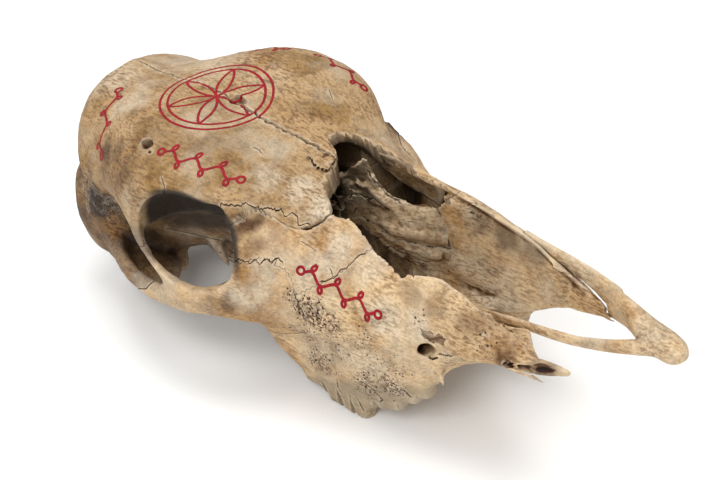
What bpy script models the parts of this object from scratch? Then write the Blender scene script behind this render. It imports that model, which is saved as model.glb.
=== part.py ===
"""A cow's skull, life size: hornless, young, without lower jaw, nose bones and right premaxilla.

It is modelled whole in the bone frame, in millimetres: x runs forward from the poll, y to the animal's
left, z up from the palate's line. Thin seams then part it into its bones, and it is tipped back on to
the plane that it rests on, with its cheek teeth and the back of its base on the floor.
"""

import math

import bmesh
import bpy
import numpy as np
from mathutils import Matrix, Vector

MM = 0.001
REACH = 140.0  # past the skull's widest point, for blades that cut right through

# How the skull lies: tipped back about the cheek teeth, on a floor through this bone-frame point.
REST_PITCH = math.radians(13.5)
REST_POINT = Vector((214.0, 0.0, -13.0))
BOX_MIDDLE = Vector((-35.2, 0.0, 0.0))  # middle of the skull's box, measured from there along the floor

# Fineness of the blended body, of the hollowed one, and of what is left once it is thinned out.
BLEND_VOXEL = 2.2
EDGE_VOXEL = 1.5
SMOOTH_STEPS = 6
BODY_TRIANGLES = 9800
SEAM = 0.35  # gap between two bones

# Braincase and forehead, by distance from the poll.
CROWN_Z = ((2, 152), (9, 167), (18, 172), (45, 166.5), (75, 165), (100, 160.5), (125, 153), (150, 144),
           (175, 133.5), (195, 125), (212, 117))
BROW_WIDTH = ((2, 36), (10, 54), (22, 64), (44, 67.5), (63, 73), (80, 80), (98, 87), (108, 87), (118, 82),
              (132, 77.5), (156, 73), (168, 68), (184, 57), (196, 49), (212, 42))
BROW_Z = ((2, 130), (10, 128), (22, 121), (44, 119), (80, 116), (98, 111), (106, 114), (118, 123), (132, 127),
          (156, 128), (168, 124), (184, 114), (196, 108), (212, 103))
BROW_SQUARENESS = ((2, 2.4), (22, 3.0), (75, 3.6), (125, 3.4), (160, 2.8), (212, 2.4))
CASE_WIDTH = ((2, 63), (10, 69), (30, 68), (50, 60), (70, 57), (100, 49), (130, 40), (160, 36), (212, 34))
CASE_MIDDLE_Z = ((2, 100), (30, 92), (60, 98), (212, 98))
BASE_WIDTH = ((2, 52), (24, 52), (44, 34), (60, 24), (80, 18), (100, 16), (212, 18))
BASE_Z = ((2, 60), (24, 56), (60, 54), (110, 60), (150, 62), (212, 52))
CASE_WAIST = ((2, 0.75), (50, 0.75), (80, 0.45), (110, 0.3), (150, 0.45), (212, 0.75))  # how full it is below
ROOF_THICKNESS = 8.0

# No skull is quite even: how much narrower, and how much higher at the side, the left half is.
LEFT_WIDTH = ((0, 1.0), (110, 1.0), (130, 0.98), (160, 0.92), (200, 0.84), (225, 0.9), (270, 1.0))
LEFT_RISE = ((0, -7.0), (30, -11.0), (55, -5.0), (80, 3.0), (110, 9.5), (135, 11.0), (170, 0.0))

# Face, by distance from the poll: edge of the nose opening, cheek, crest, gum line and palate.
NOSE_EDGE = ((160, 58, 124), (190, 46, 110), (215, 34, 105.5), (250, 37, 94), (287, 31, 82), (300, 32, 76),
             (318, 31, 62), (345, 27, 44), (368, 22, 37.5))
CHEEK = ((160, 84, 108), (175, 80, 99), (186, 75, 97), (195, 69, 96), (203, 63, 92), (217, 57, 87),
         (250, 48.5, 79), (287, 43, 67), (318, 39, 53), (345, 32, 41.5), (368, 23, 36.5))
CREST = ((160, 87, 64), (175, 81, 61), (185, 76, 58), (200, 70, 56.5), (217, 67, 56), (250, 58, 52),
         (287, 50, 46), (318, 41, 46), (345, 33, 39), (368, 24, 35.5))
BELOW_CREST = ((160, 66, 46), (195, 60, 40), (250, 55, 36), (287, 47, 34), (318, 39, 41), (345, 32, 36),
               (368, 23, 34))
GUM = ((160, 54, 26), (178, 56, 14), (215, 54, 8), (250, 48, 10), (278, 42, 18), (292, 38, 31), (318, 36, 38),
       (345, 30, 33), (368, 22, 32))
PALATE_EDGE = ((160, 38, 30), (215, 37, 22), (250, 35, 22), (278, 33, 25), (318, 29, 35), (345, 25, 32.5),
               (368, 18, 32))
PALATE_Z = ((160, 36), (215, 32), (278, 30), (318, 33), (368, 33.5))
WALL = 3.2
FACE_START, FACE_END = 164.0, 366.0

# Cheek teeth of each side from the back: first and last x, and how low the worn crown reaches.
CHEEK_TEETH = ((174.5, 190, 0), (190.5, 206, -10), (206.5, 223, -14.5), (223.5, 236, -7), (236.5, 249, -5),
               (249.5, 262, 2), (262.5, 272, 7), (273, 280, 17))

# Outline of the broken nose opening from above (x, y), and how far down it is cut.
NOSE_OPENING = ((190, 3), (181, 7), (180, 15), (186, 20), (196, 25), (203, 29.5), (208, 31.5), (214, 30.5),
                (222, 28.5), (232, 28), (250, 30), (290, 28), (340, 28), (385, 22), (385, -22), (345, -26),
                (290, -29), (281, -32), (268, -38), (250, -36), (236, -31), (226, -28), (216, -31),
                (212, -27), (204, -23), (201, -14), (196, -4))

# Outline of the gap in the front of the palate (x, y).
PALATE_GAP = ((262, 26), (262, 15), (291, 11), (309, 6), (328, -11), (345, -24), (385, -22), (385, 27),
              (330, 29))

# Eye socket, as the ovoid that hollows it: centre and half axes.
SOCKET_CENTRE = (143, 84, 103)
SOCKET_RADII = (37, 46, 25)

BONE = (0.74, 0.63, 0.47)


def along(stations, column=1):
    """A smooth function of x through stations, level past the ends, that never overshoots between them."""
    table = np.array(stations, float)
    xs, vs = table[:, 0], table[:, column]
    steps = np.diff(xs)
    rises = np.diff(vs) / steps
    slopes = np.zeros(len(xs))
    for i in range(1, len(xs) - 1):
        if rises[i - 1] * rises[i] > 0:
            slopes[i] = 2 * rises[i - 1] * rises[i] / (rises[i - 1] + rises[i])
    slopes[0], slopes[-1] = rises[0], rises[-1]

    def value(x):
        x = min(max(x, xs[0]), xs[-1])
        i = min(int(np.searchsorted(xs, x, side="right")) - 1, len(xs) - 2)
        t = (x - xs[i]) / steps[i]
        return ((2 * t**3 - 3 * t**2 + 1) * vs[i] + (t**3 - 2 * t**2 + t) * steps[i] * slopes[i]
                + (3 * t**2 - 2 * t**3) * vs[i + 1] + (t**3 - t**2) * steps[i] * slopes[i + 1])

    return value


def rounded(points, per_span):
    """A Catmull-Rom curve through points, with per_span steps between each two."""
    points = [Vector(p) for p in points]
    padded = [2 * points[0] - points[1], *points, 2 * points[-1] - points[-2]]
    curve = []
    for a, b, c, d in zip(padded, padded[1:], padded[2:], padded[3:]):
        for k in range(per_span):
            t = k / per_span
            curve.append(0.5 * (2 * b + (c - a) * t + (2 * a - 5 * b + 4 * c - d) * t**2
                                + (3 * b - a - 3 * c + d) * t**3))
    return [*curve, points[-1]]


def new_object(name, bm):
    if bm.calc_volume(signed=True) < 0:
        bmesh.ops.reverse_faces(bm, faces=bm.faces)
    mesh = bpy.data.meshes.new(name)
    bm.to_mesh(mesh)
    bm.free()
    obj = bpy.data.objects.new(name, mesh)
    bpy.context.scene.collection.objects.link(obj)
    return obj


def loft(name, rings):
    """A closed body through rings with the same number of points, its two ends filled."""
    bm = bmesh.new()
    loops = [[bm.verts.new(Vector(p) * MM) for p in ring] for ring in rings]
    for first, second in zip(loops, loops[1:]):
        for i in range(len(first)):
            j = (i + 1) % len(first)
            bm.faces.new((first[i], first[j], second[j], second[i]))
    bm.faces.new(reversed(loops[0]))
    bm.faces.new(loops[-1])
    return new_object(name, bm)


def mirrored_ring(x, half):
    """A whole section at x from its right half: (distance from the midline, z) from top to bottom."""
    width, rise = along(LEFT_WIDTH)(x), along(LEFT_RISE)(x)
    left = [(x, d * width, z + rise * min(d / 50, 1)) for d, z in half]
    right = [(x, -d, z) for d, z in reversed(half[1:-1])]
    return left + right


def ovoid(name, centre, radii, turn=(0, 0, 0)):
    bm = bmesh.new()
    bmesh.ops.create_icosphere(bm, subdivisions=3, radius=1)
    place = Matrix.LocRotScale(Vector(centre) * MM, Matrix.Rotation(math.radians(turn[2]), 3, "Z")
                               @ Matrix.Rotation(math.radians(turn[1]), 3, "Y")
                               @ Matrix.Rotation(math.radians(turn[0]), 3, "X"), Vector(radii) * MM)
    bmesh.ops.transform(bm, matrix=place, verts=bm.verts)
    return new_object(name, bm)


def bar(name, stops, up=(0, 0, 1), sides=12):
    """A rounded bar through stops, each (x, y, z, half width, half height), with its height towards up."""
    path = rounded([stop[:3] for stop in stops], 3)
    sizes = rounded([(stop[3], stop[4], 0) for stop in stops], 3)
    rings = []
    for i, (point, size) in enumerate(zip(path, sizes)):
        ahead = (path[min(i + 1, len(path) - 1)] - path[max(i - 1, 0)]).normalized()
        across = ahead.cross(Vector(up)).normalized()
        over = across.cross(ahead)
        rings.append([point + across * size[0] * math.cos(a) + over * size[1] * math.sin(a)
                      for a in (2 * math.pi * k / sides for k in range(sides))])
    return loft(name, rings)


def prism(name, outline, low, high, axis):
    """A flat outline given in the other two axes, drawn out along axis from low to high."""
    def point(pair, depth):
        values = list(pair)
        values.insert("xyz".index(axis), depth)
        return values

    return loft(name, [[point(p, depth) for p in outline] for depth in (low, high)])


def ribbon(name, line, low, high, axis="y", thickness=SEAM):
    """A thin blade that stands on a polyline and is drawn out along axis."""
    line = [Vector(p) for p in line]
    sides = [[], []]
    for i, point in enumerate(line):
        ahead = (line[min(i + 1, len(line) - 1)] - line[max(i - 1, 0)]).normalized()
        normal = Vector((-ahead.y, ahead.x)) * thickness / 2
        sides[0].append(point + normal)
        sides[1].append(point - normal)
    return prism(name, sides[0] + sides[1][::-1], low, high, axis)


def both_sides(make, *args, **options):
    """The same body on the left and, mirrored, on the right."""
    left = make(*args, **options)
    right = left.copy()
    right.data = left.data.copy()
    right.name = left.name + "_right"
    right.data.transform(Matrix.Scale(-1, 4, (0, 1, 0)))
    right.data.flip_normals()
    bpy.context.scene.collection.objects.link(right)
    return [left, right]


def apply_modifiers(obj):
    graph = bpy.context.evaluated_depsgraph_get()
    mesh = bpy.data.meshes.new_from_object(obj.evaluated_get(graph))
    obj.modifiers.clear()
    obj.data = mesh


def remove(objects):
    for obj in objects:
        bpy.data.objects.remove(obj)


def collect(objects):
    """The objects in a collection of their own, as the operand of one Boolean."""
    group = bpy.data.collections.new("operand")
    for obj in objects:
        group.objects.link(obj)
    return group


def combine(obj, others, operation, solver="MANIFOLD"):
    """One Boolean between obj and a collection of closed bodies, which are used up."""
    group = collect(others)
    modifier = obj.modifiers.new("combine", "BOOLEAN")
    modifier.operation = operation
    modifier.operand_type = "COLLECTION"
    modifier.collection = group
    modifier.solver = solver
    apply_modifiers(obj)
    remove(others)
    bpy.data.collections.remove(group)
    return obj


def blended(name, pieces, voxel, steps):
    """The pieces run together as one skin, smoothed where they meet."""
    body = combine(pieces[0], pieces[1:], "UNION") if len(pieces) > 1 else pieces[0]
    body.name = name
    remesh = body.modifiers.new("run together", "REMESH")
    remesh.mode = "VOXEL"
    remesh.voxel_size = voxel * MM
    smooth = body.modifiers.new("soften", "SMOOTH")
    smooth.factor = 0.5
    smooth.iterations = steps
    apply_modifiers(body)
    return body


def thinned(obj, triangles):
    """Fewer triangles, kept where the surface bends."""
    obj.data.calc_loop_triangles()
    thin = obj.modifiers.new("thin out", "DECIMATE")
    thin.ratio = triangles / len(obj.data.loop_triangles)
    apply_modifiers(obj)
    return obj


# Bodies of the skull


def cranium_ring(x):
    crown, brow_z, brow = along(CROWN_Z)(x), along(BROW_Z)(x), along(BROW_WIDTH)(x)
    square, case = along(BROW_SQUARENESS)(x), along(CASE_WIDTH)(x)
    middle, base, base_z = along(CASE_MIDDLE_Z)(x), along(BASE_WIDTH)(x), along(BASE_Z)(x)
    waist = along(CASE_WAIST)(x)
    top = []
    for k in range(13):
        angle = math.pi / 2 * k / 12
        top.append((brow * math.sin(angle) ** (2 / square),
                    brow_z + (crown - brow_z) * math.cos(angle) ** (2 / 1.7)))
    under = rounded([(brow, brow_z, 0), (brow - 3, brow_z - ROOF_THICKNESS * 0.7, 0),
                     ((brow + case) / 2, brow_z - ROOF_THICKNESS, 0), (case, middle, 0),
                     (base + (case - base) * waist, (middle + base_z) / 2 - 8, 0), (base, base_z + 5, 0),
                     (0, base_z, 0)], 3)
    return mirrored_ring(x, top + [tuple(p[:2]) for p in under[1:]])


def cranium():
    return loft("cranium_body", [cranium_ring(x) for x in np.linspace(2, 210, 53)])


def face_half(x, lift=0.0):
    """Half a section of the face's outer skin at x, from over the nose down to the palate's midline."""
    edge_y, edge_z = along(NOSE_EDGE, 1)(x), along(NOSE_EDGE, 2)(x)
    rows = [(0, edge_z + 7 + lift), (edge_y * 0.6, edge_z + 5 + lift), (edge_y, edge_z)]
    for table in (CHEEK, CREST, BELOW_CREST, GUM, PALATE_EDGE):
        rows.append((along(table, 1)(x), along(table, 2)(x)))
    rows.append((0, along(PALATE_Z)(x)))
    return [tuple(p[:2]) for p in rounded([(*row, 0) for row in rows], 3)]


def face():
    stations = np.linspace(FACE_START, FACE_END, 46)
    return loft("face_body", [mirrored_ring(x, face_half(x)) for x in stations])


def nose_cavity():
    """The hollow of the nose: the face's section taken in by a wall, open at the front."""
    rings = []
    for x in np.linspace(176, 384, 27):
        floor_y, floor_z = along(PALATE_EDGE, 1)(x) - 6, along(PALATE_Z)(x) + 3.6
        edge_y, edge_z = along(NOSE_EDGE, 1)(x) - WALL, max(along(NOSE_EDGE, 2)(x), floor_z + 11)
        cheek_y, cheek_z = along(CHEEK, 1)(x) - WALL * 1.15, max(along(CHEEK, 2)(x), floor_z + 7)
        low_z = min(max(along(CREST, 2)(x), floor_z) + 3, cheek_z - 2)
        low_y = along(CREST, 1)(x) - 12 + 8 * min(max((x - 300) / 60, 0), 1)
        half = [(0, edge_z + 2), (edge_y * 0.6, edge_z + 1), (edge_y, edge_z - 2), (cheek_y - 1, cheek_z),
                (low_y, low_z), (floor_y + 4, (low_z + floor_z) / 2), (floor_y, floor_z), (0, floor_z)]
        rings.append(mirrored_ring(x, [tuple(p[:2]) for p in rounded([(*row, 0) for row in half], 2)]))
    return loft("nose_hollow", rings)


def nose_roof():
    """All that lies above the edge of the nose opening, forward of the frontal bones."""
    rings = []
    for x in np.linspace(246, 386, 20):
        edge_z = along(NOSE_EDGE, 2)(x)
        rings.append([(x, y, z) for y, z in ((-REACH, edge_z), (REACH, edge_z), (REACH, 230), (-REACH, 230))])
    return loft("nose_roof", rings)


def zygomatic_bars():
    bars = []
    bars += both_sides(bar, "eye_bar", [(90, 76, 119, 3.6, 6.5), (97, 82, 114, 3.6, 5.8),
                                        (106, 88, 103, 3.3, 5), (119, 90, 89, 3.3, 5.2),
                                        (134, 90, 75, 4.6, 8), (148, 88, 68, 6, 10)], up=(0.7, 0, 0.7))
    cheek_bar = [(122, 90, 68.5, 5, 7), (138, 90, 69, 6, 9), (154, 86, 70, 7, 10.5), (170, 79, 70, 8, 14),
                 (188, 68, 68, 8, 17)]
    bars.append(bar("cheek_bar_right", [(x, -y, z, w, h) for x, y, z, w, h in cheek_bar]))
    # The left one lies a little further in and lower, as the far outline shows.
    bars.append(bar("cheek_bar_left", [(x, y - 0.13 * max(0, x - 138), z - 0.08 * max(0, x - 138), w, h)
                                       for x, y, z, w, h in cheek_bar]))
    bars += both_sides(bar, "arch", [(26, 56, 75, 9, 10), (42, 67, 75, 6, 8), (62, 78, 73, 4.5, 7.5),
                                     (86, 86, 70, 4.5, 7.5), (112, 90.5, 68.5, 4.5, 7.5),
                                     (136, 90, 68.5, 5, 8)])
    bars += both_sides(bar, "jaw_joint", [(48, 56, 70, 9, 5), (60, 70, 68, 8, 4), (66, 78, 68, 5, 4)])
    return bars


def skull_base():
    """Condyles, jugular processes, ear bullae and the wings below the braincase."""
    pieces = []
    pieces += both_sides(ovoid, "condyle", (-1, 20, 58), (15, 13, 21.5), (0, 25, -20))
    pieces += both_sides(bar, "jugular", [(10, 52, 78, 6, 10), (10, 52, 62, 5, 9), (10, 48, 48, 4, 6),
                                          (11, 44, 37, 2.5, 3.5)], up=(1, 0, 0))
    pieces += both_sides(ovoid, "bulla", (50, 36, 55), (16, 8, 12), (0, 10, 15))
    pieces += both_sides(ovoid, "jaw_socket", (62, 60, 58), (20, 17, 9.5), (0, 8, 0))
    pieces += both_sides(bar, "ear_tube", [(34, 44, 70, 6, 6), (26, 58, 70, 6, 6), (22, 64, 70, 5, 5)])
    pieces += both_sides(bar, "pterygoid", [(178, 27, 44, 2.8, 20), (150, 26, 48, 2.6, 17),
                                            (125, 25, 53, 2.6, 13), (107, 24, 56, 2.6, 9),
                                            (90, 23, 57, 2.8, 7), (74, 21, 59, 3, 6)])
    pieces += both_sides(bar, "hook", [(112, 25, 50, 2.4, 4), (107, 27, 47, 2, 2.6), (103, 29, 46, 1.8, 1.8)])
    pieces += both_sides(bar, "orbit_spine", [(84, 33, 84, 4.5, 4.5), (90, 32.5, 76, 4.3, 4.3),
                                              (95, 32.5, 69, 3.8, 3.8), (99, 33, 62, 3.2, 3.2),
                                              (101, 33, 58.5, 2.6, 2.6)], up=(1, 0, 0))
    pieces.append(ovoid("occiput", (9, 0, 104), (14, 58, 50)))
    return pieces


def cheek_teeth():
    """Two rows of cheek teeth, each a ridged crown; the front ones are worn or broken to stumps."""
    teeth = []
    for side in (-1, 1):
        for number, (start, end, bottom) in enumerate(CHEEK_TEETH):
            middle, length = (start + end) / 2, end - start
            y = side * (along(GUM, 1)(middle) + along(PALATE_EDGE, 1)(middle)) / 2
            half_width = 4.5 if number == len(CHEEK_TEETH) - 1 else 8
            for part, offset in enumerate((-0.25, 0.25)):
                centre, low = middle + offset * length, bottom + part * 1.2 * side
                teeth.append(bar(f"tooth_{side}_{number}_{part}", [
                    (centre, y, 34, half_width, length * 0.29),
                    (centre, y, low + 12, half_width, length * 0.29),
                    (centre, y * 1.02, low + 3, half_width * 0.9, length * 0.28),
                    (centre, y * 1.03, low, half_width * 0.6, length * 0.2)], up=(1, 0, 0), sides=10))
    return teeth


def hollows():
    """What is cut from the blended body."""
    cutters = both_sides(ovoid, "socket", SOCKET_CENTRE, SOCKET_RADII, (0, 20, -22))
    cutters.append(ovoid("brain_door", (-2, 0, 84), (26, 17, 15)))
    cutters.append(ovoid("ethmoid_hollow", (172, 0, 96), (30, 27, 21)))
    cutters.append(prism("nose_opening", NOSE_OPENING, 64, 230, "z"))
    cutters.append(nose_cavity())
    cutters.append(nose_roof())
    cutters.append(ovoid("brow_hole", (96, 56, 154), (4.5, 3.2, 12)))
    cutters.append(ovoid("brow_hole_right", (102, -62, 150), (4.5, 3.2, 12), (20, 0, 0)))
    cutters += both_sides(bar, "cheek_hole", [(269, 42, 43, 3.5, 3.5), (283, 46.5, 45, 4, 4),
                                              (299, 55, 47, 4.5, 4.5)])
    cutters += both_sides(bar, "choana", [(60, 8, 40, 9, 9), (110, 9, 44, 11, 14), (160, 10, 52, 13, 17),
                                          (200, 11, 56, 13, 18)])
    cutters.append(ovoid("forehead_hole", (118, -4.5, 158), (6, 3.2, 12)))
    cutters.append(prism("palate_gap", PALATE_GAP, 15, 60, "z"))
    return cutters


def premaxilla(grow=0.0):
    """The left premaxilla: a flat lobe, a nasal arm on the maxilla and a thin palatine arm by the midline."""
    def grown(stops):
        return [(x, y, z, width + grow, height + grow) for x, y, z, width, height in stops]

    lobe = bar("lobe", grown([(346, 32, 45, 3, 11), (360, 30, 41, 4.5, 10.5), (374, 26, 36, 8, 7.5),
                              (388, 22, 32.5, 10, 5.5), (397, 18, 30.5, 8, 4.5), (401, 16, 30, 5, 3)]))
    nasal = bar("nasal_arm", grown([(294, 32.5, 77, 1.8, 2), (306, 33.5, 70, 2.2, 3), (322, 34, 62, 2.6, 5),
                                    (338, 33.5, 54.5, 3, 7.5), (352, 32, 46, 3.4, 10)]))
    palatine = bar("palatine_arm", grown([(268, 6, 38, 1.6, 2.5), (300, 6, 36, 2, 3.2),
                                          (335, 7, 32.5, 2.4, 3.6), (360, 9, 33, 3, 4),
                                          (376, 14, 33, 5, 4.5), (386, 19, 32, 7, 4.5)]))
    return combine(lobe, [nasal, palatine], "UNION")


def vomer(grow=0.0):
    """The ploughshare bone: a thin upright keel along the floor of the nose."""
    return bar("vomer_body", [(x, y, z, width + grow, height + grow) for x, y, z, width, height in (
        (174, 0, 54, 2, 15), (200, 0, 46, 1.8, 11), (225, 0, 41, 1.6, 8), (258, 0, 38, 1.4, 4))])


# Seams between the bones


def blade(line, low, high, axis="y"):
    return ribbon("blade", line, low, high, axis)


def on_both_sides(line, low, high, axis="y"):
    """A blade on the left and its mirror image on the right; low and high count from the midline."""
    return both_sides(ribbon, "blade", line, low, high, axis)


def roof_seams():
    """Under the frontal bones from the poll to the eye sockets, and round their front to the nose opening."""
    under = blade([(-30, 150), (6, 147), (20, 119), (50, 106), (92, 100), (140, 97), (158.2, 100.2)],
                  -REACH, REACH)
    front = [(163, 90), (168, 73), (174, 63), (184, 55), (191, 51.5), (198, 50), (204, 47.5), (209, 43),
             (213, 35), (216, 27), (219, 14)]
    outline = [(158, 90), *front[:-1]]
    plate = prism("blade", outline + [(x, -y) for x, y in reversed(outline)], 100, 100 + SEAM, "z")
    return [under, plate, *on_both_sides(front, 99.8, 145, "z")]


def middle_seam():
    return [blade([(-40, 0), (6, 0), (20, -2), (34, -1.6), (47, -3.4), (58, -3.8), (68, -6), (80, -6.2),
                   (94, -4.6), (109, -5), (128, -6.8), (141, -7.4), (156, -6.6), (170, -4.6), (186, -3),
                   (215, -2)], 60, 230, "z")]


def back_seams():
    """Between the bones of the braincase and those of the face, with one across each cheek arch."""
    wall = blade([(162, -56), (162, -36), (181, -34), (181, 34), (162, 36), (162, 56)], 56, 140, "z")
    half_floor = [(86, 33), (150, 33), (150, 40), (181.1, 40)]
    floor = prism("blade", half_floor + [(x, -y) for x, y in reversed(half_floor)], 56, 56 + SEAM, "z")
    end = blade([(86, 30), (86, 56.2)], -33, 33)
    arch = on_both_sides([(106, 92), (111, 77), (104, 71), (90, 67), (78, 52)], 62, REACH)
    return [wall, floor, end, *arch]


def case_seams():
    """Round the occipital bone at the back and round each temporal bone at the side."""
    middle = blade([(27, 140), (27, 80), (62, 68), (62, 20)], -46, 46)
    sides = on_both_sides([(27, 26), (27, REACH)], 20, 140, "z")
    temples = []
    for side in (-1, 1):
        line = [(side * y, z) for y, z in ((49, 130), (49, 84), (30, 70), (26, 62), (26, 20))]
        temples.append(ribbon("blade", line, 26.8, 104.1, "x"))
    return [middle, *sides, *temples, *on_both_sides([(104, 25.8), (104, 56)], 30, 120, "z")]


def face_seams():
    """Round the lacrimal, zygomatic and palatine bones, and between the two maxillas along the palate."""
    seams = on_both_sides([(120, 54), (180, 54), (218, 50)], 36, 99, "z")
    seams += on_both_sides([(150, 36), (180, 40), (196, 44), (212, 50), (217, 57.5)], 50, REACH)
    seams += on_both_sides([(217, 57.3), (213, 62), (206, 68), (203, 72), (201, 94), (195, 97.5)], 44, REACH)
    seams += on_both_sides([(195.1, 97.4), (186, 97), (150, 97)], 52, REACH)
    seams += on_both_sides([(155, 84), (190, 80), (203, 72)], 10, 54.2)
    seams += on_both_sides([(202.9, 72), (217, 78), (231, 83), (239, 88), (247, 93), (258, 108)], 16, REACH)
    seams.append(blade([(140, 37), (190, 36), (200, 26), (202, 0), (200, -26), (190, -36), (140, -37)],
                       10, 60, "z"))
    seams.append(blade([(90, 0), (400, 0)], 10, 70, "z"))
    return seams


def parted(obj, seams, seeds):
    """Cuts obj along the seams; each name in seeds gets the piece nearest to its point."""
    combine(obj, seams, "DIFFERENCE")
    bm = bmesh.new()
    bm.from_mesh(obj.data)
    groups, seen = [], set()
    for vert in bm.verts:
        if vert.index in seen:
            continue
        group, edge = [], [vert]
        seen.add(vert.index)
        while edge:
            current = edge.pop()
            group.append(current)
            for link in current.link_edges:
                other = link.other_vert(current)
                if other.index not in seen:
                    seen.add(other.index)
                    edge.append(other)
        groups.append(group)
    found = {}
    for name, seed in seeds.items():
        seed = Vector(seed) * MM
        nearest = min(groups, key=lambda group: min((v.co - seed).length for v in group))
        keep = {v.index for v in nearest}
        piece = bm.copy()
        bmesh.ops.delete(piece, geom=[v for v in piece.verts if v.index not in keep], context="VERTS")
        found[name] = new_object(name, piece)
    bm.free()
    bpy.data.objects.remove(obj)
    return found


def sides(name, x, y, z):
    """The seeds of a pair of bones."""
    return {f"{name}_right": (x, -y, z), f"{name}_left": (x, y, z)}


def bones(body):
    """The body parted into its bones, by name."""
    found = parted(body, roof_seams(), {"roof": (75, 20, 164), "rest": (100, 0, 62)})
    named = parted(found["roof"], middle_seam(), sides("frontal", 75, 30, 163))
    found = parted(found["rest"], back_seams(), {"case": (100, 0, 62), "front": (215, 0, 34)})
    named |= parted(found["case"], case_seams(), {"occipital": (0, 0, 110), "braincase": (100, 0, 62)}
                    | sides("temporal", 60, 76, 74))
    face_seeds = (sides("maxilla", 240, 55, 45) | sides("lacrimal", 180, 74, 106)
                  | sides("zygomatic", 165, 85, 68) | sides("palatine", 130, 26, 45))
    named |= parted(found["front"], face_seams(), face_seeds)
    return named


def bone_material(name, tint):
    """Dry bone, in a tint of its own for each bone."""
    material = bpy.data.materials.new(name)
    material.use_nodes = True
    shader = material.node_tree.nodes["Principled BSDF"]
    shader.inputs["Base Color"].default_value = (*(channel * tint for channel in BONE), 1)
    shader.inputs["Roughness"].default_value = 0.62
    shader.inputs["Metallic"].default_value = 0.0
    material.diffuse_color = (*(channel * tint for channel in BONE), 1)
    return material


def laid_down(objects):
    """Tips the skull back on to its teeth and trims what would pass through the floor."""
    rest = (Matrix.Translation(-BOX_MIDDLE * MM) @ Matrix.Rotation(-REST_PITCH, 4, "Y")
            @ Matrix.Translation(-REST_POINT * MM))
    for obj in objects:
        obj.data.transform(rest)
    for obj in objects:
        if min(v.co.z for v in obj.data.vertices) < 0:
            floor = prism("floor", ((-400, -400), (400, -400), (400, 400), (-400, 400)), -100, 0, "z")
            combine(obj, [floor], "DIFFERENCE")


def largest_surface(obj):
    """Keeps only the largest closed surface of a bone."""
    bm = bmesh.new()
    bm.from_mesh(obj.data)
    left, best = set(bm.verts), []
    while left:
        group, edge = [], [left.pop()]
        while edge:
            current = edge.pop()
            group.append(current)
            for link in current.link_edges:
                other = link.other_vert(current)
                if other in left:
                    left.remove(other)
                    edge.append(other)
        if len(group) > len(best):
            best = group
    best = set(best)
    bmesh.ops.delete(bm, geom=[v for v in bm.verts if v not in best], context="VERTS")
    bm.to_mesh(obj.data)
    bm.free()


def skull_body():
    body = blended("skull", [cranium(), face(), *zygomatic_bars(), *skull_base(), *cheek_teeth()],
                   BLEND_VOXEL, SMOOTH_STEPS)
    combine(body, hollows(), "DIFFERENCE")
    body = blended("skull", [body], EDGE_VOXEL, 2)
    return thinned(body, BODY_TRIANGLES)


def main():
    remove(list(bpy.data.objects))
    body = skull_body()
    combine(body, [premaxilla(SEAM), vomer(SEAM)], "DIFFERENCE")
    named = bones(body)
    named["premaxilla_left"] = thinned(premaxilla(), 700)
    named["vomer"] = vomer()
    for i, (name, obj) in enumerate(sorted(named.items())):
        obj.name = name
        largest_surface(obj)
        obj.data.materials.clear()
        obj.data.materials.append(bone_material(name + "_bone", 0.94 + 0.12 * (i * 7 % 10) / 10))
    laid_down(list(named.values()))


main()
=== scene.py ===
import math

import bmesh
import bpy
import numpy as np
from mathutils import Matrix, Vector
from mathutils.bvhtree import BVHTree


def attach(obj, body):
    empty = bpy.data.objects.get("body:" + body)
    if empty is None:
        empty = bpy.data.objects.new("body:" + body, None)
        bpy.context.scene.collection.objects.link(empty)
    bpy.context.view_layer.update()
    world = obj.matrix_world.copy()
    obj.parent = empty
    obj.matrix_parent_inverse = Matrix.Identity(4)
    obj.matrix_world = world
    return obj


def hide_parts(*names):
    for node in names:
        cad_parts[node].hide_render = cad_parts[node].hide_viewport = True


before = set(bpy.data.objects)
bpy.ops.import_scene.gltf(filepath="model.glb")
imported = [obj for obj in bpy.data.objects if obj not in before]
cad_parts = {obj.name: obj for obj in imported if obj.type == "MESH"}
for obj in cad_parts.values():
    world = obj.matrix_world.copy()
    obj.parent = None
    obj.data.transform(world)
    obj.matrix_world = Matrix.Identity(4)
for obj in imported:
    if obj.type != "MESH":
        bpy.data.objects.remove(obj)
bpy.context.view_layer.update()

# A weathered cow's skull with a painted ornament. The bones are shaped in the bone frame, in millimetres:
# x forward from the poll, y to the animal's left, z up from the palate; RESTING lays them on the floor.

MM = 0.001
VOXEL = 1.0  # fineness of the bone surface
REACH = 140.0  # far enough past the skull for a cut to go right through
SHARP = math.radians(50)  # a bend over this shows as an edge
FACET = math.radians(48)  # a CAD bone's edge over this stays sharp
RESTING = (Matrix.Translation((0.0352, 0, 0)) @ Matrix.Rotation(math.radians(-13.5), 4, "Y")
           @ Matrix.Translation((-0.214, 0, 0.013)))

BODY_BONES = ["frontal_right", "frontal_left", "occipital", "braincase", "temporal_right", "temporal_left",
              "lacrimal_right", "lacrimal_left", "zygomatic_right", "zygomatic_left", "maxilla_right",
              "maxilla_left", "palatine_right", "palatine_left"]
LONE_BONES = ("premaxilla_left", "vomer")  # they stand a little apart and get a skin of their own


# Small tools


def linked(name, mesh):
    obj = bpy.data.objects.new(name, mesh)
    bpy.context.scene.collection.objects.link(obj)
    return obj


def mesh_of(name, points, faces):
    mesh = bpy.data.meshes.new(name)
    mesh.from_pydata([tuple(p) for p in points], [], faces)
    mesh.update()
    return mesh


def applied(obj):
    """The object with its modifiers made part of its mesh."""
    graph = bpy.context.evaluated_depsgraph_get()
    mesh = bpy.data.meshes.new_from_object(obj.evaluated_get(graph))
    obj.modifiers.clear()
    obj.data = mesh
    return obj


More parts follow.
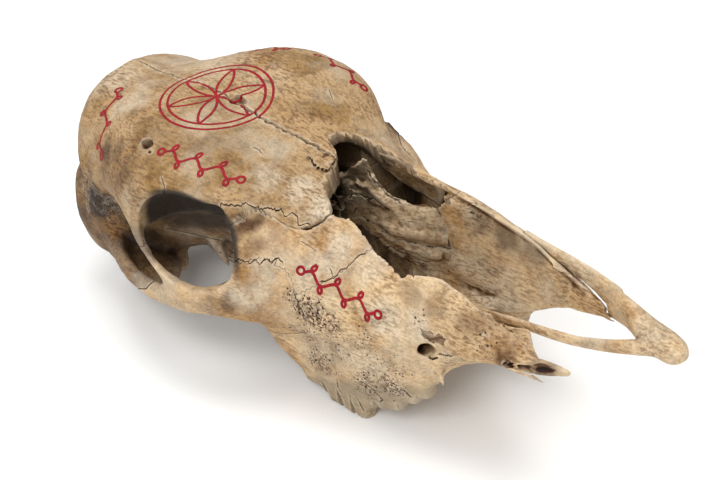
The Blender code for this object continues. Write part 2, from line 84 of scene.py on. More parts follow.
def combined(obj, others, operation):
    """One Boolean between obj and closed bodies, which are used up."""
    group = bpy.data.collections.new("operand")
    for other in others:
        group.objects.link(other)
    boolean = obj.modifiers.new("combine", "BOOLEAN")
    boolean.operation = operation
    boolean.operand_type = "COLLECTION"
    boolean.collection = group
    boolean.solver = "MANIFOLD"
    applied(obj)
    for other in others:
        bpy.data.objects.remove(other)
    bpy.data.collections.remove(group)
    return obj


def points_of(mesh):
    values = np.empty(len(mesh.vertices) * 3)
    mesh.vertices.foreach_get("co", values)
    return values.reshape(-1, 3) / MM


def normals_of(mesh):
    values = np.empty(len(mesh.vertices) * 3)
    mesh.vertex_normals.foreach_get("vector", values)
    return values.reshape(-1, 3)


def put_points(mesh, points):
    mesh.vertices.foreach_set("co", (points * MM).ravel())
    mesh.update()


def blobs(points, size, seed):
    """Smooth random values from -1 to 1 at points, in blobs of a size in millimetres."""
    cells = points / size + seed * 17.3
    base = np.floor(cells).astype(np.int64)
    t = cells - base
    t = t * t * (3 - 2 * t)
    total = np.zeros(len(points))
    for corner in np.ndindex(2, 2, 2):
        c = base + corner
        h = (c[:, 0] * 73856093 ^ c[:, 1] * 19349663 ^ c[:, 2] * 83492791 ^ seed * 7919) & 0xFFFFFFFF
        h = ((h ^ (h >> 15)) * 2246822519) & 0xFFFFFFFF
        h = ((h ^ (h >> 13)) * 3266489917) & 0xFFFFFFFF
        h = h ^ (h >> 16)
        weight = np.prod(np.where(corner, t, 1 - t), axis=1)
        total += weight * (h / 2**31 - 1)
    return total


def eased(values, low, high):
    t = np.clip((values - low) / (high - low), 0, 1)
    return t * t * (3 - 2 * t)


def loft(name, rings):
    """A closed body through rings with the same number of points, in millimetres, its ends filled."""
    bm = bmesh.new()
    loops = [[bm.verts.new(Vector(p) * MM) for p in ring] for ring in rings]
    for first, second in zip(loops, loops[1:]):
        for i in range(len(first)):
            j = (i + 1) % len(first)
            bm.faces.new((first[i], first[j], second[j], second[i]))
    bm.faces.new(reversed(loops[0]))
    bm.faces.new(loops[-1])
    if bm.calc_volume(signed=True) < 0:
        bmesh.ops.reverse_faces(bm, faces=bm.faces)
    mesh = bpy.data.meshes.new(name)
    bm.to_mesh(mesh)
    bm.free()
    return linked(name, mesh)


def ovoid(name, centre, radii, turn=(0, 0, 0), wobble=0.0, seed=1):
    """A rounded lump, uneven by wobble."""
    bm = bmesh.new()
    bmesh.ops.create_icosphere(bm, subdivisions=4, radius=1)
    turned = (Matrix.Rotation(math.radians(turn[2]), 3, "Z") @ Matrix.Rotation(math.radians(turn[1]), 3, "Y")
              @ Matrix.Rotation(math.radians(turn[0]), 3, "X"))
    ball = np.array([list(v.co) for v in bm.verts])
    uneven = 1 + wobble * blobs(ball * 10, 7, seed)
    for vert, swell in zip(bm.verts, uneven):
        vert.co = vert.co * swell
    bmesh.ops.transform(bm, matrix=Matrix.LocRotScale(Vector(centre) * MM, turned, Vector(radii) * MM),
                        verts=bm.verts)
    mesh = bpy.data.meshes.new(name)
    bm.to_mesh(mesh)
    bm.free()
    return linked(name, mesh)


def tube(name, stops, up=(0, 0, 1), sides=16):
    """A rounded bar through stops, each (x, y, z, half width, half height)."""
    path = curved([stop[:3] for stop in stops], 6)
    sizes = curved([(stop[3], stop[4], 0) for stop in stops], 6)
    rings = []
    for i, (point, size) in enumerate(zip(path, sizes)):
        ahead = (path[min(i + 1, len(path) - 1)] - path[max(i - 1, 0)]).normalized()
        across = ahead.cross(Vector(up)).normalized()
        over = across.cross(ahead)
        rings.append([point + across * size[0] * math.cos(a) + over * size[1] * math.sin(a)
                      for a in (math.tau * k / sides for k in range(sides))])
    return loft(name, rings)


def curved(points, per_span):
    """A Catmull-Rom curve through points."""
    points = [Vector(p) for p in points]
    padded = [2 * points[0] - points[1], *points, 2 * points[-1] - points[-2]]
    curve = []
    for a, b, c, d in zip(padded, padded[1:], padded[2:], padded[3:]):
        for k in range(per_span):
            t = k / per_span
            curve.append(0.5 * (2 * b + (c - a) * t + (2 * a - 5 * b + 4 * c - d) * t**2
                                + (3 * b - a - 3 * c + d) * t**3))
    return [*curve, points[-1]]


def evenly(points, step):
    """Points at even distances of about step along a polyline of any dimension."""
    points = np.array([list(p) for p in points], float)
    lengths = np.r_[0, np.cumsum(np.linalg.norm(np.diff(points, axis=0), axis=1))]
    count = max(int(round(lengths[-1] / step)), 2)
    places = np.linspace(0, lengths[-1], count + 1)
    return np.array([np.interp(places, lengths, points[:, k]) for k in range(points.shape[1])]).T


def jagged(line, step, height, seed):
    """A flat polyline turned into the irregular teeth of a suture; its ends and first corners stay."""
    line = evenly(line, step)
    random = np.random.default_rng(seed)
    ahead = np.gradient(line, axis=0)
    normal = np.stack([-ahead[:, 1], ahead[:, 0]], axis=1)
    normal /= np.linalg.norm(normal, axis=1)[:, None]
    teeth = np.where(np.arange(len(line)) % 2, 1, -1) * random.uniform(0.35, 1, len(line)) * height
    teeth[0] = teeth[-1] = 0
    return line + normal * teeth[:, None]


def prism(name, outline, low, high, axis):
    """A flat outline in the other two axes, drawn out along axis."""
    def place(pair, depth):
        values = list(pair)
        values.insert("xyz".index(axis), depth)
        return values

    return loft(name, [[place(p, depth) for p in outline] for depth in (low, high)])


def blade(line, low, high, axis="y", thickness=0.4):
    """A thin wall on a flat polyline, drawn out along axis."""
    line = [Vector(p) for p in line]
    flanks = [[], []]
    for i, point in enumerate(line):
        ahead = (line[min(i + 1, len(line) - 1)] - line[max(i - 1, 0)]).normalized()
        normal = Vector((-ahead.y, ahead.x)) * thickness / 2
        flanks[0].append(point + normal)
        flanks[1].append(point - normal)
    return prism("blade", flanks[0] + flanks[1][::-1], low, high, axis)


def twice(line, low, high, axis="y", thickness=0.4):
    """The same blade on the left and the right."""
    if axis == "y":
        return [blade(line, low, high, axis, thickness), blade(line, -high, -low, axis, thickness)]
    return [blade(line, low, high, axis, thickness),
            blade([(a, -b) for a, b in line], low, high, axis, thickness)]


def add(tree, kind, settings=None, **inputs):
    """A node with its settings, a ramp's stops among them; an input is a value, or a socket to link."""
    node = tree.nodes.new(kind)
    for key, value in (settings or {}).items():
        if key != "stops":
            setattr(node, key, value)
            continue
        elements = node.color_ramp.elements
        while len(elements) < len(value):
            elements.new(0.5)
        for element, (place, colour) in zip(elements, value):
            element.position = place
            element.color = colour if isinstance(colour, tuple) else (colour, colour, colour, 1)
    for key, value in inputs.items():
        socket = node.inputs[int(key[1:])] if key[0] == "_" else node.inputs[key.replace("_", " ")]
        if isinstance(value, bpy.types.NodeSocket):
            tree.links.new(value, socket)
        else:
            socket.default_value = value
    return node


def tree_with(name, inputs):
    """A Geometry Nodes tree with a geometry and other named inputs, and the sockets that give them."""
    tree = bpy.data.node_groups.new(name, "GeometryNodeTree")
    for label, kind in (("Geometry", "Geometry"), *inputs):
        tree.interface.new_socket(label, in_out="INPUT", socket_type="NodeSocket" + kind)
    tree.interface.new_socket("Geometry", in_out="OUTPUT", socket_type="NodeSocketGeometry")
    return tree, tree.nodes.new("NodeGroupInput").outputs


def tree_ended(tree, geometry, material):
    """The tree with its copies made real and its material set."""
    real = add(tree, "GeometryNodeRealizeInstances", None, Geometry=geometry)
    finish = add(tree, "GeometryNodeSetMaterial", None, Geometry=real.outputs[0], Material=material)
    out = tree.nodes.new("NodeGroupOutput")
    tree.links.new(finish.outputs[0], out.inputs[0])
    return tree


def run_tree(obj, tree, values):
    """Runs the tree on obj as a modifier, its inputs set by identifier."""
    modifier = obj.modifiers.new(tree.name, "NODES")
    modifier.node_group = tree
    for item in tree.interface.items_tree:
        if item.in_out == "INPUT" and item.name in values:
            modifier[item.identifier] = values[item.name]


# The bones as one body


def grown_copy(node, grow):
    """A closed copy of a CAD bone in the bone frame, its facets rounded between its sharp edges."""
    bm = bmesh.new()
    bm.from_mesh(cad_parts[node].data)
    bmesh.ops.remove_doubles(bm, verts=bm.verts, dist=1e-6)
    bmesh.ops.transform(bm, matrix=RESTING.inverted(), verts=bm.verts)
    crease = bm.edges.layers.float.new("crease_edge")
    for edge in bm.edges:
        if len(edge.link_faces) == 2 and edge.calc_face_angle() > FACET:
            edge[crease] = 1
    mesh = bpy.data.meshes.new(node)
    bm.to_mesh(mesh)
    bm.free()
    obj = linked(node + "_rough", mesh)
    round_off = obj.modifiers.new("round off", "SUBSURF")
    round_off.levels = round_off.render_levels = 1
    swell = obj.modifiers.new("swell", "DISPLACE")
    swell.strength = grow * MM
    swell.mid_level = 0
    return applied(obj)


def run_together(obj, voxel, steps, shrink):
    """One even skin, softened, then taken in by shrink."""
    remesh = obj.modifiers.new("skin", "REMESH")
    remesh.mode = "VOXEL"
    remesh.voxel_size = voxel * MM
    smooth = obj.modifiers.new("soften", "SMOOTH")
    smooth.factor = 0.5
    smooth.iterations = steps
    take_in = obj.modifiers.new("take in", "DISPLACE")
    take_in.strength = -shrink * MM
    take_in.mid_level = 0
    return applied(obj)


def weathered(obj, amount=1.0):
    """Dry bone isn't even: low swells, a finer unevenness, and shallow pits where its outer layer went."""
    points, normals = points_of(obj.data), normals_of(obj.data)
    swells = 0.42 * blobs(points, 17, 3) + 0.2 * blobs(points, 7, 4) + 0.1 * blobs(points, 3.1, 5)
    pits = 0.35 * eased(blobs(points, 2.6, 6), 0.35, 0.9) * eased(blobs(points, 21, 7), 0.0, 0.6)
    put_points(obj.data, points + normals * ((swells - pits) * amount)[:, None])
    return obj


def skin_tree(obj):
    return BVHTree.FromObject(obj, bpy.context.evaluated_depsgraph_get())


def on_skin(tree, points):
    """The nearest places on the bone and their normals, in millimetres."""
    found = [tree.find_nearest(Vector(p) * MM) for p in points]
    return [(Vector(place) / MM, Vector(normal)) for place, normal, _, _ in found]


def groove(tree, line, width, depth, jag=0.0, step=1.0, seed=1):
    """A wedge that follows a line on the skin: the cutter of a crack or a suture."""
    random = np.random.default_rng(seed)
    places = on_skin(tree, evenly(line, step))
    spots = [place for place, _ in places]
    widths = np.convolve(random.uniform(0.55, 1.45, len(spots) + 4), np.ones(5) / 5, "valid")
    sways = np.convolve(random.uniform(-1, 1, len(spots) + 2), np.ones(3) / 3, "valid") * 2
    rings = []
    for i, (spot, normal) in enumerate(places):
        ahead = (spots[min(i + 1, len(spots) - 1)] - spots[max(i - 1, 0)]).normalized()
        side = ahead.cross(normal).normalized()
        spot = spot + side * jag * sways[i]
        ends = min(1, (i + 0.3) / 3, (len(spots) - 0.7 - i) / 3)
        half = width / 2 * ends * widths[i]
        rings.append([spot + normal * 1.2 + side * half * 1.6, spot + normal * 1.2 - side * half * 1.6,
                      spot - side * half * 0.5 - normal * depth * 0.5,
                      spot - normal * depth * (0.4 + 0.6 * ends),
                      spot + side * half * 0.5 - normal * depth * 0.5])
    return loft("groove", rings)


# Cracks and open sutures, by places on the skin: (line, width, depth, jag, step)
CRACKS = [
    ([(165, -73, 121), (169, -69, 122), (174, -63, 122), (179, -59, 121), (184, -55, 117), (188, -52, 115),
      (193, -49, 113), (198, -47, 111), (204, -45, 107), (209, -44, 103)], 1.0, 1.8, 1.5, 0.9),
    ([(180, -78, 96), (184, -76, 96), (187, -75, 93), (190, -73, 95), (193, -71, 92), (195, -69, 95),
      (198, -67, 91), (201, -65, 93), (204, -64, 90)], 0.9, 1.5, 0.9, 0.7),
    ([(108, -90, 98), (111, -88, 100), (113, -88, 104)], 0.9, 1.3, 0.5, 0.7),
    ([(248, 44, 84), (262, 42, 86), (276, 41, 83), (290, 40, 77), (304, 38, 70)], 0.8, 1.2, 0.3, 0.9),
    ([(124, -73, 138), (129, -76, 133), (128, -75, 127)], 0.9, 1.6, 0.5, 0.8),
    ([(157, -30, 140), (162, -29, 138), (166, -30, 136)], 0.9, 1.2, 0.3, 0.8),
    ([(24, -2, 171), (47, -3.4, 166), (58, -3.8, 166), (68, -6, 165), (80, -6.2, 164), (94, -4.8, 162)],
     0.7, 1.2, 0.6, 0.8),
    ([(94, -4.8, 162), (108, -5, 158), (113, -5, 157)], 1.2, 1.8, 0.6, 0.8),
    ([(124, -7, 153), (141, -7.2, 147), (156, -6.8, 141), (169, -4.6, 136), (178, -4.4, 132), (187, -3, 128)],
     2.2, 2.8, 0.7, 0.9),
    ([(205, -47, 103), (209, -43.5, 103), (213, -36, 105.5), (215, -29, 107)], 1.5, 3.0, 0.3, 0.9),
    ([(222, -57, 79), (231, -54, 82), (238, -48, 87), (242, -43, 91), (248, -39, 93)], 0.8, 1.4, 0.6, 0.8),
    ([(231, -54, 82), (229, -53, 85), (227, -52, 87)], 0.8, 1.3, 0.3, 0.8),
    ([(283, -47, 41), (288, -48, 41), (293, -48, 42)], 1.8, 2.2, 0.6, 0.7),
    ([(292, -47, 44), (297, -46, 44), (302, -44, 44)], 1.2, 1.6, 0.5, 0.7),
    ([(209, -65, 74), (210, -67, 66), (214, -68, 60), (219, -66, 56)], 1.0, 1.5, 1.2, 0.7),
    ([(216, -66, 66), (221, -65, 62), (224, -64, 57)], 0.8, 1.2, 1.0, 0.7),
    ([(152, 38, 146), (160, 33, 143)], 0.7, 1.0, 0.3, 0.8),
    ([(236, -51, 8), (239, -50, 3), (236, -50, 0)], 1.0, 1.6, 0.4, 0.7),
    ([(256, -49, 15), (260, -48, 11), (262, -47, 8)], 1.1, 1.8, 0.4, 0.7),
    ([(247, -49, 14), (254, -48, 12), (260, -48, 16)], 0.7, 1.2, 0.6, 0.7),
    ([(219, -53, 4), (221, -52, -3), (222, -52, -9)], 0.9, 1.4, 0.2, 0.7),
    ([(210, -56, 12), (206, -53, 5), (207, -53, 0)], 0.9, 1.3, 0.3, 0.7),
    ([(213, -53, 5), (214, -52, -2)], 0.8, 1.2, 0.2, 0.7),
    ([(250, 45, 78), (262, 44, 70), (270, 45, 62)], 0.7, 1.2, 0.4, 0.9),
    ([(60, 60, 120), (70, 58, 112), (72, 55, 100)], 0.7, 1.2, 0.5, 0.9),
    ([(58, -60, 118), (66, -57, 108), (70, -54, 96)], 0.7, 1.2, 0.5, 0.9),
    ([(20, -66, 118), (24, -68, 108), (22, -68, 96)], 0.8, 1.2, 0.5, 0.9),
    ([(192, -17, 126), (188, -15, 128), (184, -12, 130)], 0.9, 1.4, 0.4, 0.7),
]

# Shallow breaks of the outer layer: outline on the skin, depth
FLAKED = [
    ([(284, -48, 58), (288, -47, 57), (291, -46, 57), (292, -47, 54), (295, -45, 56), (299, -45, 53),
      (298, -46, 50), (293, -47, 50), (288, -48, 52), (285, -48, 54)], 0.9),
]

# Loose layers that stand up from the skin: outline on the skin, height
LAYERS = [
    ([(182, 3, 130), (180, 9, 130), (181, 14, 128), (184, 18, 124), (183, 15, 121), (184, 10, 122),
      (190, 0, 127)], 1.5),
    ([(184, -14, 129), (185, -6, 129), (191, -4, 126), (195, -4, 124), (198, -9, 123), (198, -15, 123),
      (192, -17, 125)], 1.4),
]


def holes():
    """Vessel holes, the break through the thin cheek wall and the lost bits of the gum line and the front."""
    notches = [[(232, 2), (229, -4), (226, -9), (225, -20), (237, -20), (236, -7), (234, -2)],
               [(265, 11), (262, 6), (260, 0), (259, -10), (270, -10), (269, 1), (267, 6)],
               [(282, 25), (280, 19), (279, 12), (278, -4), (287, -4), (286, 14), (284.5, 20)],
               [(192, 8), (191, 2), (190, -14), (194.5, -14), (194, 1)],
               [(204, 4), (202.5, -2), (202, -14), (206, -14), (205.5, -3)],
               [(213, 0), (212, -5), (211, -16), (215.5, -16), (214.5, -6)],
               [(248, 2), (247, -3), (246, -12), (250, -12), (249.5, -2)]]
    return [ovoid("hole", (102, -62, 151), (4.0, 3.2, 9), (20, 0, 0), 0.3, 2),
            ovoid("hole", (108.5, -66, 148), (1.3, 1.1, 4), (25, 0, 0), 0.3, 3),
            ovoid("hole", (119, -4.8, 156), (7.2, 3.9, 9), (0, 0, 12), 0.42, 4),
            ovoid("hole", (352, 27.5, 37), (1.5, 5, 1.5), (0, 0, 0), 0.2, 7),
            ovoid("hole", (258, 31, 84), (1.6, 4, 1.0), (0, 20, 0), 0.3, 8),
            ovoid("gap", (204, -57, -2), (1.4, 9, 4.5), (0, 0, 0), 0.3, 12),
            *[prism("notch", ragged(outline, 1.6, 0.7, 20 + k), -80, -30, "y") for k,
              outline in enumerate(notches)],
            ovoid("hollow", (350, -31, 39.2), (9.5, 2.8, 2.6), (0, 4, 22), 0.5, 13),
            ovoid("hollow", (342, -34.5, 39.5), (6, 3, 3.2), (0, 14, 20), 0.6, 14),
            ovoid("hollow", (335, -37.5, 42), (4, 2.4, 1.6), (0, 20, 20), 0.6, 16)]


def shell(tree, outline, up, down, seed=1):
    """A ragged outline on the skin drawn out along its normals, up above it and down into it."""
    places = on_skin(tree, evenly([*outline, outline[0]], 1.3)[:-1])
    normal = sum((n for _, n in places), Vector()).normalized()
    centre = sum((p for p, _ in places), Vector()) / len(places)
    random = np.random.default_rng(seed)
    spots = [p + (p - centre).normalized() * random.uniform(-0.9, 0.9) for p, _ in places]
    return loft("shell", [[p + normal * d for p in spots] for d in (-down, up)])


def laid_layer(tree, outline, height, seed):
    """A loose layer of bone: its whole face follows the skin at a height above it."""
    flat = shell(tree, outline, 6, 4, seed)
    bm = bmesh.new()
    bm.from_mesh(flat.data)
    bpy.data.objects.remove(flat)
    bmesh.ops.triangulate(bm, faces=bm.faces)
    for _ in range(3):
        bmesh.ops.subdivide_edges(bm, edges=bm.edges, cuts=1, use_grid_fill=True)
        bmesh.ops.triangulate(bm, faces=bm.faces)
    middle = sum((v.co for v in bm.verts), Vector()) / len(bm.verts)
    normal = on_skin(tree, [middle / MM])[0][1]
    heights = [(v.co - middle).dot(normal) / MM for v in bm.verts]
    for vert, away in zip(list(bm.verts), heights):
        place, _ = on_skin(tree, [vert.co / MM - normal * away])[0]
        lift = height + 0.25 if away > 0 else -0.8
        vert.co = (place + normal * (lift if abs(away) > 1.5 else away * 0.2)) * MM
    bmesh.ops.recalc_face_normals(bm, faces=bm.faces)
    mesh = bpy.data.meshes.new("layer")
    bm.to_mesh(mesh)
    bm.free()
    return linked("layer", mesh)


POROUS = [  # where the outer layer is lost and the spongy bone shows, by centre, radius and strength
    ((216, -66, 64), 13, 1.0), ((226, -64, 56), 12, 0.9), ((208, -66, 72), 7, 0.6),
    ((205, -60, 26), 14, 0.8), ((222, -64, 38), 17, 0.5), ((282, -47, 62), 7, 0.3),
    ((206, -66, 46), 12, 0.6), ((232, -54, 14), 12, 0.9), ((250, -49, 16), 12, 0.9),
    ((258, -49, 30), 12, 0.35), ((246, -56, 42), 16, 0.3), ((30, -62, 116), 12, 0.5),
    ((44, -60, 104), 14, 0.4), ((318, -37, 50), 9, 0.25), ((215, 60, 20), 18, 0.6), ((30, 60, 110), 16, 0.5),
    ((0, 0, 120), 40, 0.35), ((60, 40, 50), 30, 0.4), ((120, 0, 55), 40, 0.3), ((385, 20, 36), 14, 0.3),
    ((262, 30, 84), 9, 0.2),
]


def pit_tree():
    """Scatters little balls on the skin, thickest where porous is high: the cutters of the pits."""
    tree, given = tree_with("spongy_pits", (("Most per square metre", "Float"), ("Least radius", "Float"),
                                            ("Greatest radius", "Float"), ("Seed", "Int"),
                                            ("Material", "Material")))
    porous = add(tree, "GeometryNodeInputNamedAttribute", {"data_type": "FLOAT"}, Name="porous").outputs[0]
    density = add(tree, "ShaderNodeMath", {"operation": "MULTIPLY"}, _0=porous,
                  _1=given["Most per square metre"])
    spread = add(tree, "GeometryNodeDistributePointsOnFaces", {"distribute_method": "RANDOM"},
                 Mesh=given["Geometry"], Density=density.outputs[0], Seed=given["Seed"])
    low = add(tree, "ShaderNodeMath", {"operation": "MULTIPLY"}, _0=given["Least radius"], _1=MM).outputs[0]
    high = add(tree, "ShaderNodeMath", {"operation": "MULTIPLY"}, _0=given["Greatest radius"],
               _1=MM).outputs[0]
    chance = add(tree, "FunctionNodeRandomValue", {"data_type": "FLOAT"}, Seed=given["Seed"]).outputs[1]
    # most pits are small, and a few are large
    skewed = add(tree, "ShaderNodeMath", {"operation": "POWER"}, _0=chance, _1=2.5).outputs[0]
    size = add(tree, "ShaderNodeMapRange", None, Value=skewed, To_Min=low, To_Max=high).outputs[0]
    ball = add(tree, "GeometryNodeMeshIcoSphere", None, Radius=1.0, Subdivisions=2).outputs["Mesh"]
    placed = add(tree, "GeometryNodeInstanceOnPoints", None, Points=spread.outputs["Points"], Instance=ball,
                 Scale=size)
    return tree_ended(tree, placed.outputs[0], given["Material"])


def pits(body, material):
    """The spongy bone's little holes, as one body of cutters."""
    field = linked("pit_field", body.data.copy())
    set_values(field.data, "porous", patches(points_of(field.data), POROUS, 71))
    run_tree(field, pit_tree(), {"Most per square metre": 4.5e5, "Least radius": 0.15, "Greatest radius": 0.6,
                                 "Seed": 5, "Material": material})
    return applied(field)


def ragged(outline, step, height, seed):
    """A closed outline with the small bites and points of broken bone."""
    line = evenly([*outline, outline[0]], step)[:-1]
    random = np.random.default_rng(seed)
    centre = line.mean(axis=0)
    away = line - centre
    away /= np.linalg.norm(away, axis=1)[:, None]
    return line + away * (random.uniform(-0.4, 1, len(line)) * height)[:, None]


# The broken mouth of the nose from above
NOSE_MOUTH = [(189, 3), (180.5, 7), (179.5, 15), (185.5, 20.5), (195.5, 25.5), (203, 30), (208, 32),
              (214.5, 31), (222, 29), (232, 28.5), (245, 29.5), (245, -34.5), (236, -31.5), (226, -28.5),
              (216, -31.5), (211.5, -27.5), (203.5, -23.5), (200.5, -14), (195.5, -4)]
NOSE_EDGE = [(244, -20), (292, -20), (290, -29.5), (281, -32.5), (268, -38.5), (250, -36.5), (244, -34.5)]


def nasal_wall():
    """The smooth inner face of the left maxilla, from its broken back edge forward."""
    return sheet_through("nasal_wall", [
        [(228, 27, 91.5), (242, 31, 93), (258, 33.5, 89), (278, 33, 82), (300, 32.5, 72), (322, 34, 61)],
        [(236, 26.5, 82), (247, 29, 84), (262, 31.5, 80), (281, 32, 73), (302, 31.5, 64), (322, 32, 55)],
        [(238.5, 26, 70), (250, 28.5, 70), (265, 30.5, 67), (284, 31, 61), (304, 31, 55), (322, 30.5, 50)],
        [(237, 26, 56), (249, 28, 55), (265, 29, 53), (284, 29.5, 50), (304, 29.5, 47), (321, 29, 46)],
        [(229, 26.5, 42), (244, 27, 38), (262, 26.5, 36), (282, 26.5, 35), (302, 28, 38), (320, 28, 42)]],
                         2.6, 5)


def body_whole():
    parts = [grown_copy(node, 0.26) for node in BODY_BONES]
    spine = tube("spine", [(97, -32.5, 67, 2.8, 3.6), (100, -33, 61, 2.4, 3.0), (103, -33, 54.5, 0.8, 0.9)])
    splinter = tube("splinter", [(285, -43.5, 34, 2.2, 3), (287.5, -44.5, 27, 1.6, 2),
                                 (288, -45, 21.5, 0.7, 0.8)])
    flush = tube("flush", [(306, 35.5, 68, 1.6, 2.2), (318, 34.5, 60, 2, 2.6), (329, 33, 52.5, 2.2, 2.8),
                           (340, 31, 44.5, 2.2, 2.8), (348, 29.5, 38, 1.8, 2.2), (351, 29, 36, 1, 1.2)])
    sliver = tube("sliver", [(330, -38, 42.5, 2.4, 2.2), (340, -36.5, 39, 2.6, 1.6), (347, -35, 36, 1.8, 1.1),
                             (354, -34, 33.5, 0.7, 0.6)])
    rim = tube("rim", [(204, 30.5, 112, 1.6, 1.2), (214, 32, 107.5, 2, 1.2), (224, 33.5, 102.5, 2, 1.1),
                       (232, 34.5, 99, 1.5, 0.9), (240, 35.5, 95, 0.5, 0.5)])
    body = combined(parts[0], parts[1:] + [nasal_wall(), spine, splinter, flush, sliver, rim], "UNION")
    undercut = ovoid("undercut", (184, 10, 107), (28, 18, 18.5), (0, 0, 0), 0.1, 15)
    combined(body, [grown_copy("premaxilla_left", 0.7), undercut], "DIFFERENCE")
    run_together(body, VOXEL, 5, 0.26)
    weathered(body)
    return body


def seams():
    """The walls between the bones, in the order that they are cut, with toothed lines where they show."""
    teeth = jagged([(168, 73), (174, 63), (184, 55), (191, 51.5)], 1.3, 0.4, 11)
    front = [(163, 90), *teeth, (198, 50), (204, 47.5), (209, 43), (213, 35), (216, 27), (219, 14)]
    outline = [(158, 90), *front[:-1]]
    under = blade([(-30, 150), (6, 147), (20, 119), (50, 106), (92, 100), (140, 97), (158.2, 100.2)], -REACH,
                  REACH)
    plate = prism("blade", outline + [(x, -y) for x, y in reversed(outline)], 100, 100.4, "z")
    roof = [under, plate, *twice(front, 99.8, 145, "z", 0.75)]
    crown = jagged([(6, 0), (20, -2), (34, -1.6), (47, -3.4), (58, -3.8), (68, -6), (80, -6.2), (94, -4.6),
                    (109, -5), (128, -6.8), (141, -7.4), (156, -6.6), (170, -4.6), (186, -3), (204, -2.4)],
                   2.2, 0.55, 12)
    middle = [blade([(-40, 0), *crown, (215, -2)], 60, 230, "z", 0.5)]
    wall = blade([(162, -56), (162, -36), (181, -34), (181, 34), (162, 36), (162, 56)], 56, 140, "z")
    half_floor = [(86, 33), (150, 33), (150, 40), (181.1, 40)]
    floor = prism("blade", half_floor + [(x, -y) for x, y in reversed(half_floor)], 56, 56.4, "z")
    end = blade([(86, 30), (86, 56.2)], -33, 33)
    back = [wall, floor, end,
            *twice([(106, 92), (111, 77), (104, 71), (90, 67), (78, 52)], 62, REACH, "y", 0.9)]
    case = [blade([(27, 140), (27, 80), (62, 68), (62, 20)], -46, 46),
            *twice([(27, 26), (27, REACH)], 20, 140, "z")]
    for side in (-1, 1):
        line = [(side * y, z) for y, z in ((49, 130), (49, 84), (30, 70), (26, 62), (26, 20))]
        case.append(blade(line, 26.8, 104.1, "x"))
    case += twice([(104, 25.8), (104, 56)], 30, 120, "z")
    cheek = twice([(120, 54), (180, 54), (218, 50)], 36, 99, "z")
    cheek += twice([(150, 36), (180, 40), (196, 44), (212, 50), (217, 57.5)], 50, REACH)
    corner = jagged([(209, 73), (208, 79), (204.5, 86), (201, 89)], 1.5, 0.5, 15)
    crest = jagged([(201, 89), (199, 92), (193, 95), (186, 94), (177, 95.5)], 1.9, 1.5, 13)
    cheek += twice([(217, 57.3), (213, 62), (210.5, 68), *corner, *crest[1:], (150, 97)], 50, REACH, "y", 0.6)
    cheek += twice([(155, 84), (190, 80), (209.3, 72.6)], 10, 54.2)
    notch = jagged([(209, 72.8), (219, 77), (231, 82), (238, 87), (242, 91), (248, 93.5), (258, 108)],
                   1.6, 0.7, 14)
    cheek += twice([(208.8, 72.8), *notch[1:-1], (258, 108)], 16, REACH, "y", 0.5)
    cheek.append(blade([(140, 37), (190, 36), (200, 26), (202, 0), (200, -26), (190, -36), (140, -37)],
                       10, 60, "z"))
    cheek.append(blade([(90, 0), (400, 0)], 10, 70, "z"))
    return roof, middle, back, case, cheek


def surfaces(mesh):
    """For each vertex, the number of the closed surface that it is on."""
    edges = np.empty(len(mesh.edges) * 2, int)
    mesh.edges.foreach_get("vertices", edges)
    a, b = edges.reshape(-1, 2).T
    label = np.arange(len(mesh.vertices))
    while True:
        low = np.minimum(label[a], label[b])
        new = label.copy()
        np.minimum.at(new, a, low)
        np.minimum.at(new, b, low)
        new = new[new]
        if (new == label).all():
            return label
        label = new


def parted(obj, cutters, seeds):
    """Cuts obj and returns the piece nearest to each seed, under the seed's name."""
    combined(obj, cutters, "DIFFERENCE")
    mesh = obj.data
    label, points = surfaces(mesh), points_of(mesh)
    found = {}
    for name, seed in seeds.items():
        nearest = label[np.argmin(((points - np.array(seed)) ** 2).sum(axis=1))]
        piece = mesh.copy()
        bm = bmesh.new()
        bm.from_mesh(piece)
        bm.verts.ensure_lookup_table()
        bmesh.ops.delete(bm, geom=[bm.verts[i] for i in np.flatnonzero(label != nearest)], context="VERTS")
        bm.to_mesh(piece)
        bm.free()
        found[name] = linked(name, piece)
    bpy.data.objects.remove(obj)
    return found


def pair(name, x, y, z):
    return {f"{name}_right": (x, -y, z), f"{name}_left": (x, y, z)}


def bones(body):
    roof, middle, back, case, cheek = seams()
    found = parted(body, roof, {"roof": (75, 20, 164), "rest": (100, 0, 62)})
    named = parted(found["roof"], middle, pair("frontal", 75, 30, 163))
    found = parted(found["rest"], back, {"case": (100, 0, 62), "front": (215, 0, 34)})
    named |= parted(found["case"], case, {"occipital": (0, 0, 110), "braincase": (100, 0, 62)}
                    | pair("temporal", 60, 76, 74))
    named |= parted(found["front"], cheek, pair("maxilla", 240, 55, 45) | pair("lacrimal", 180, 74, 106)
                    | pair("zygomatic", 165, 85, 68) | pair("palatine", 130, 26, 45))
    return named


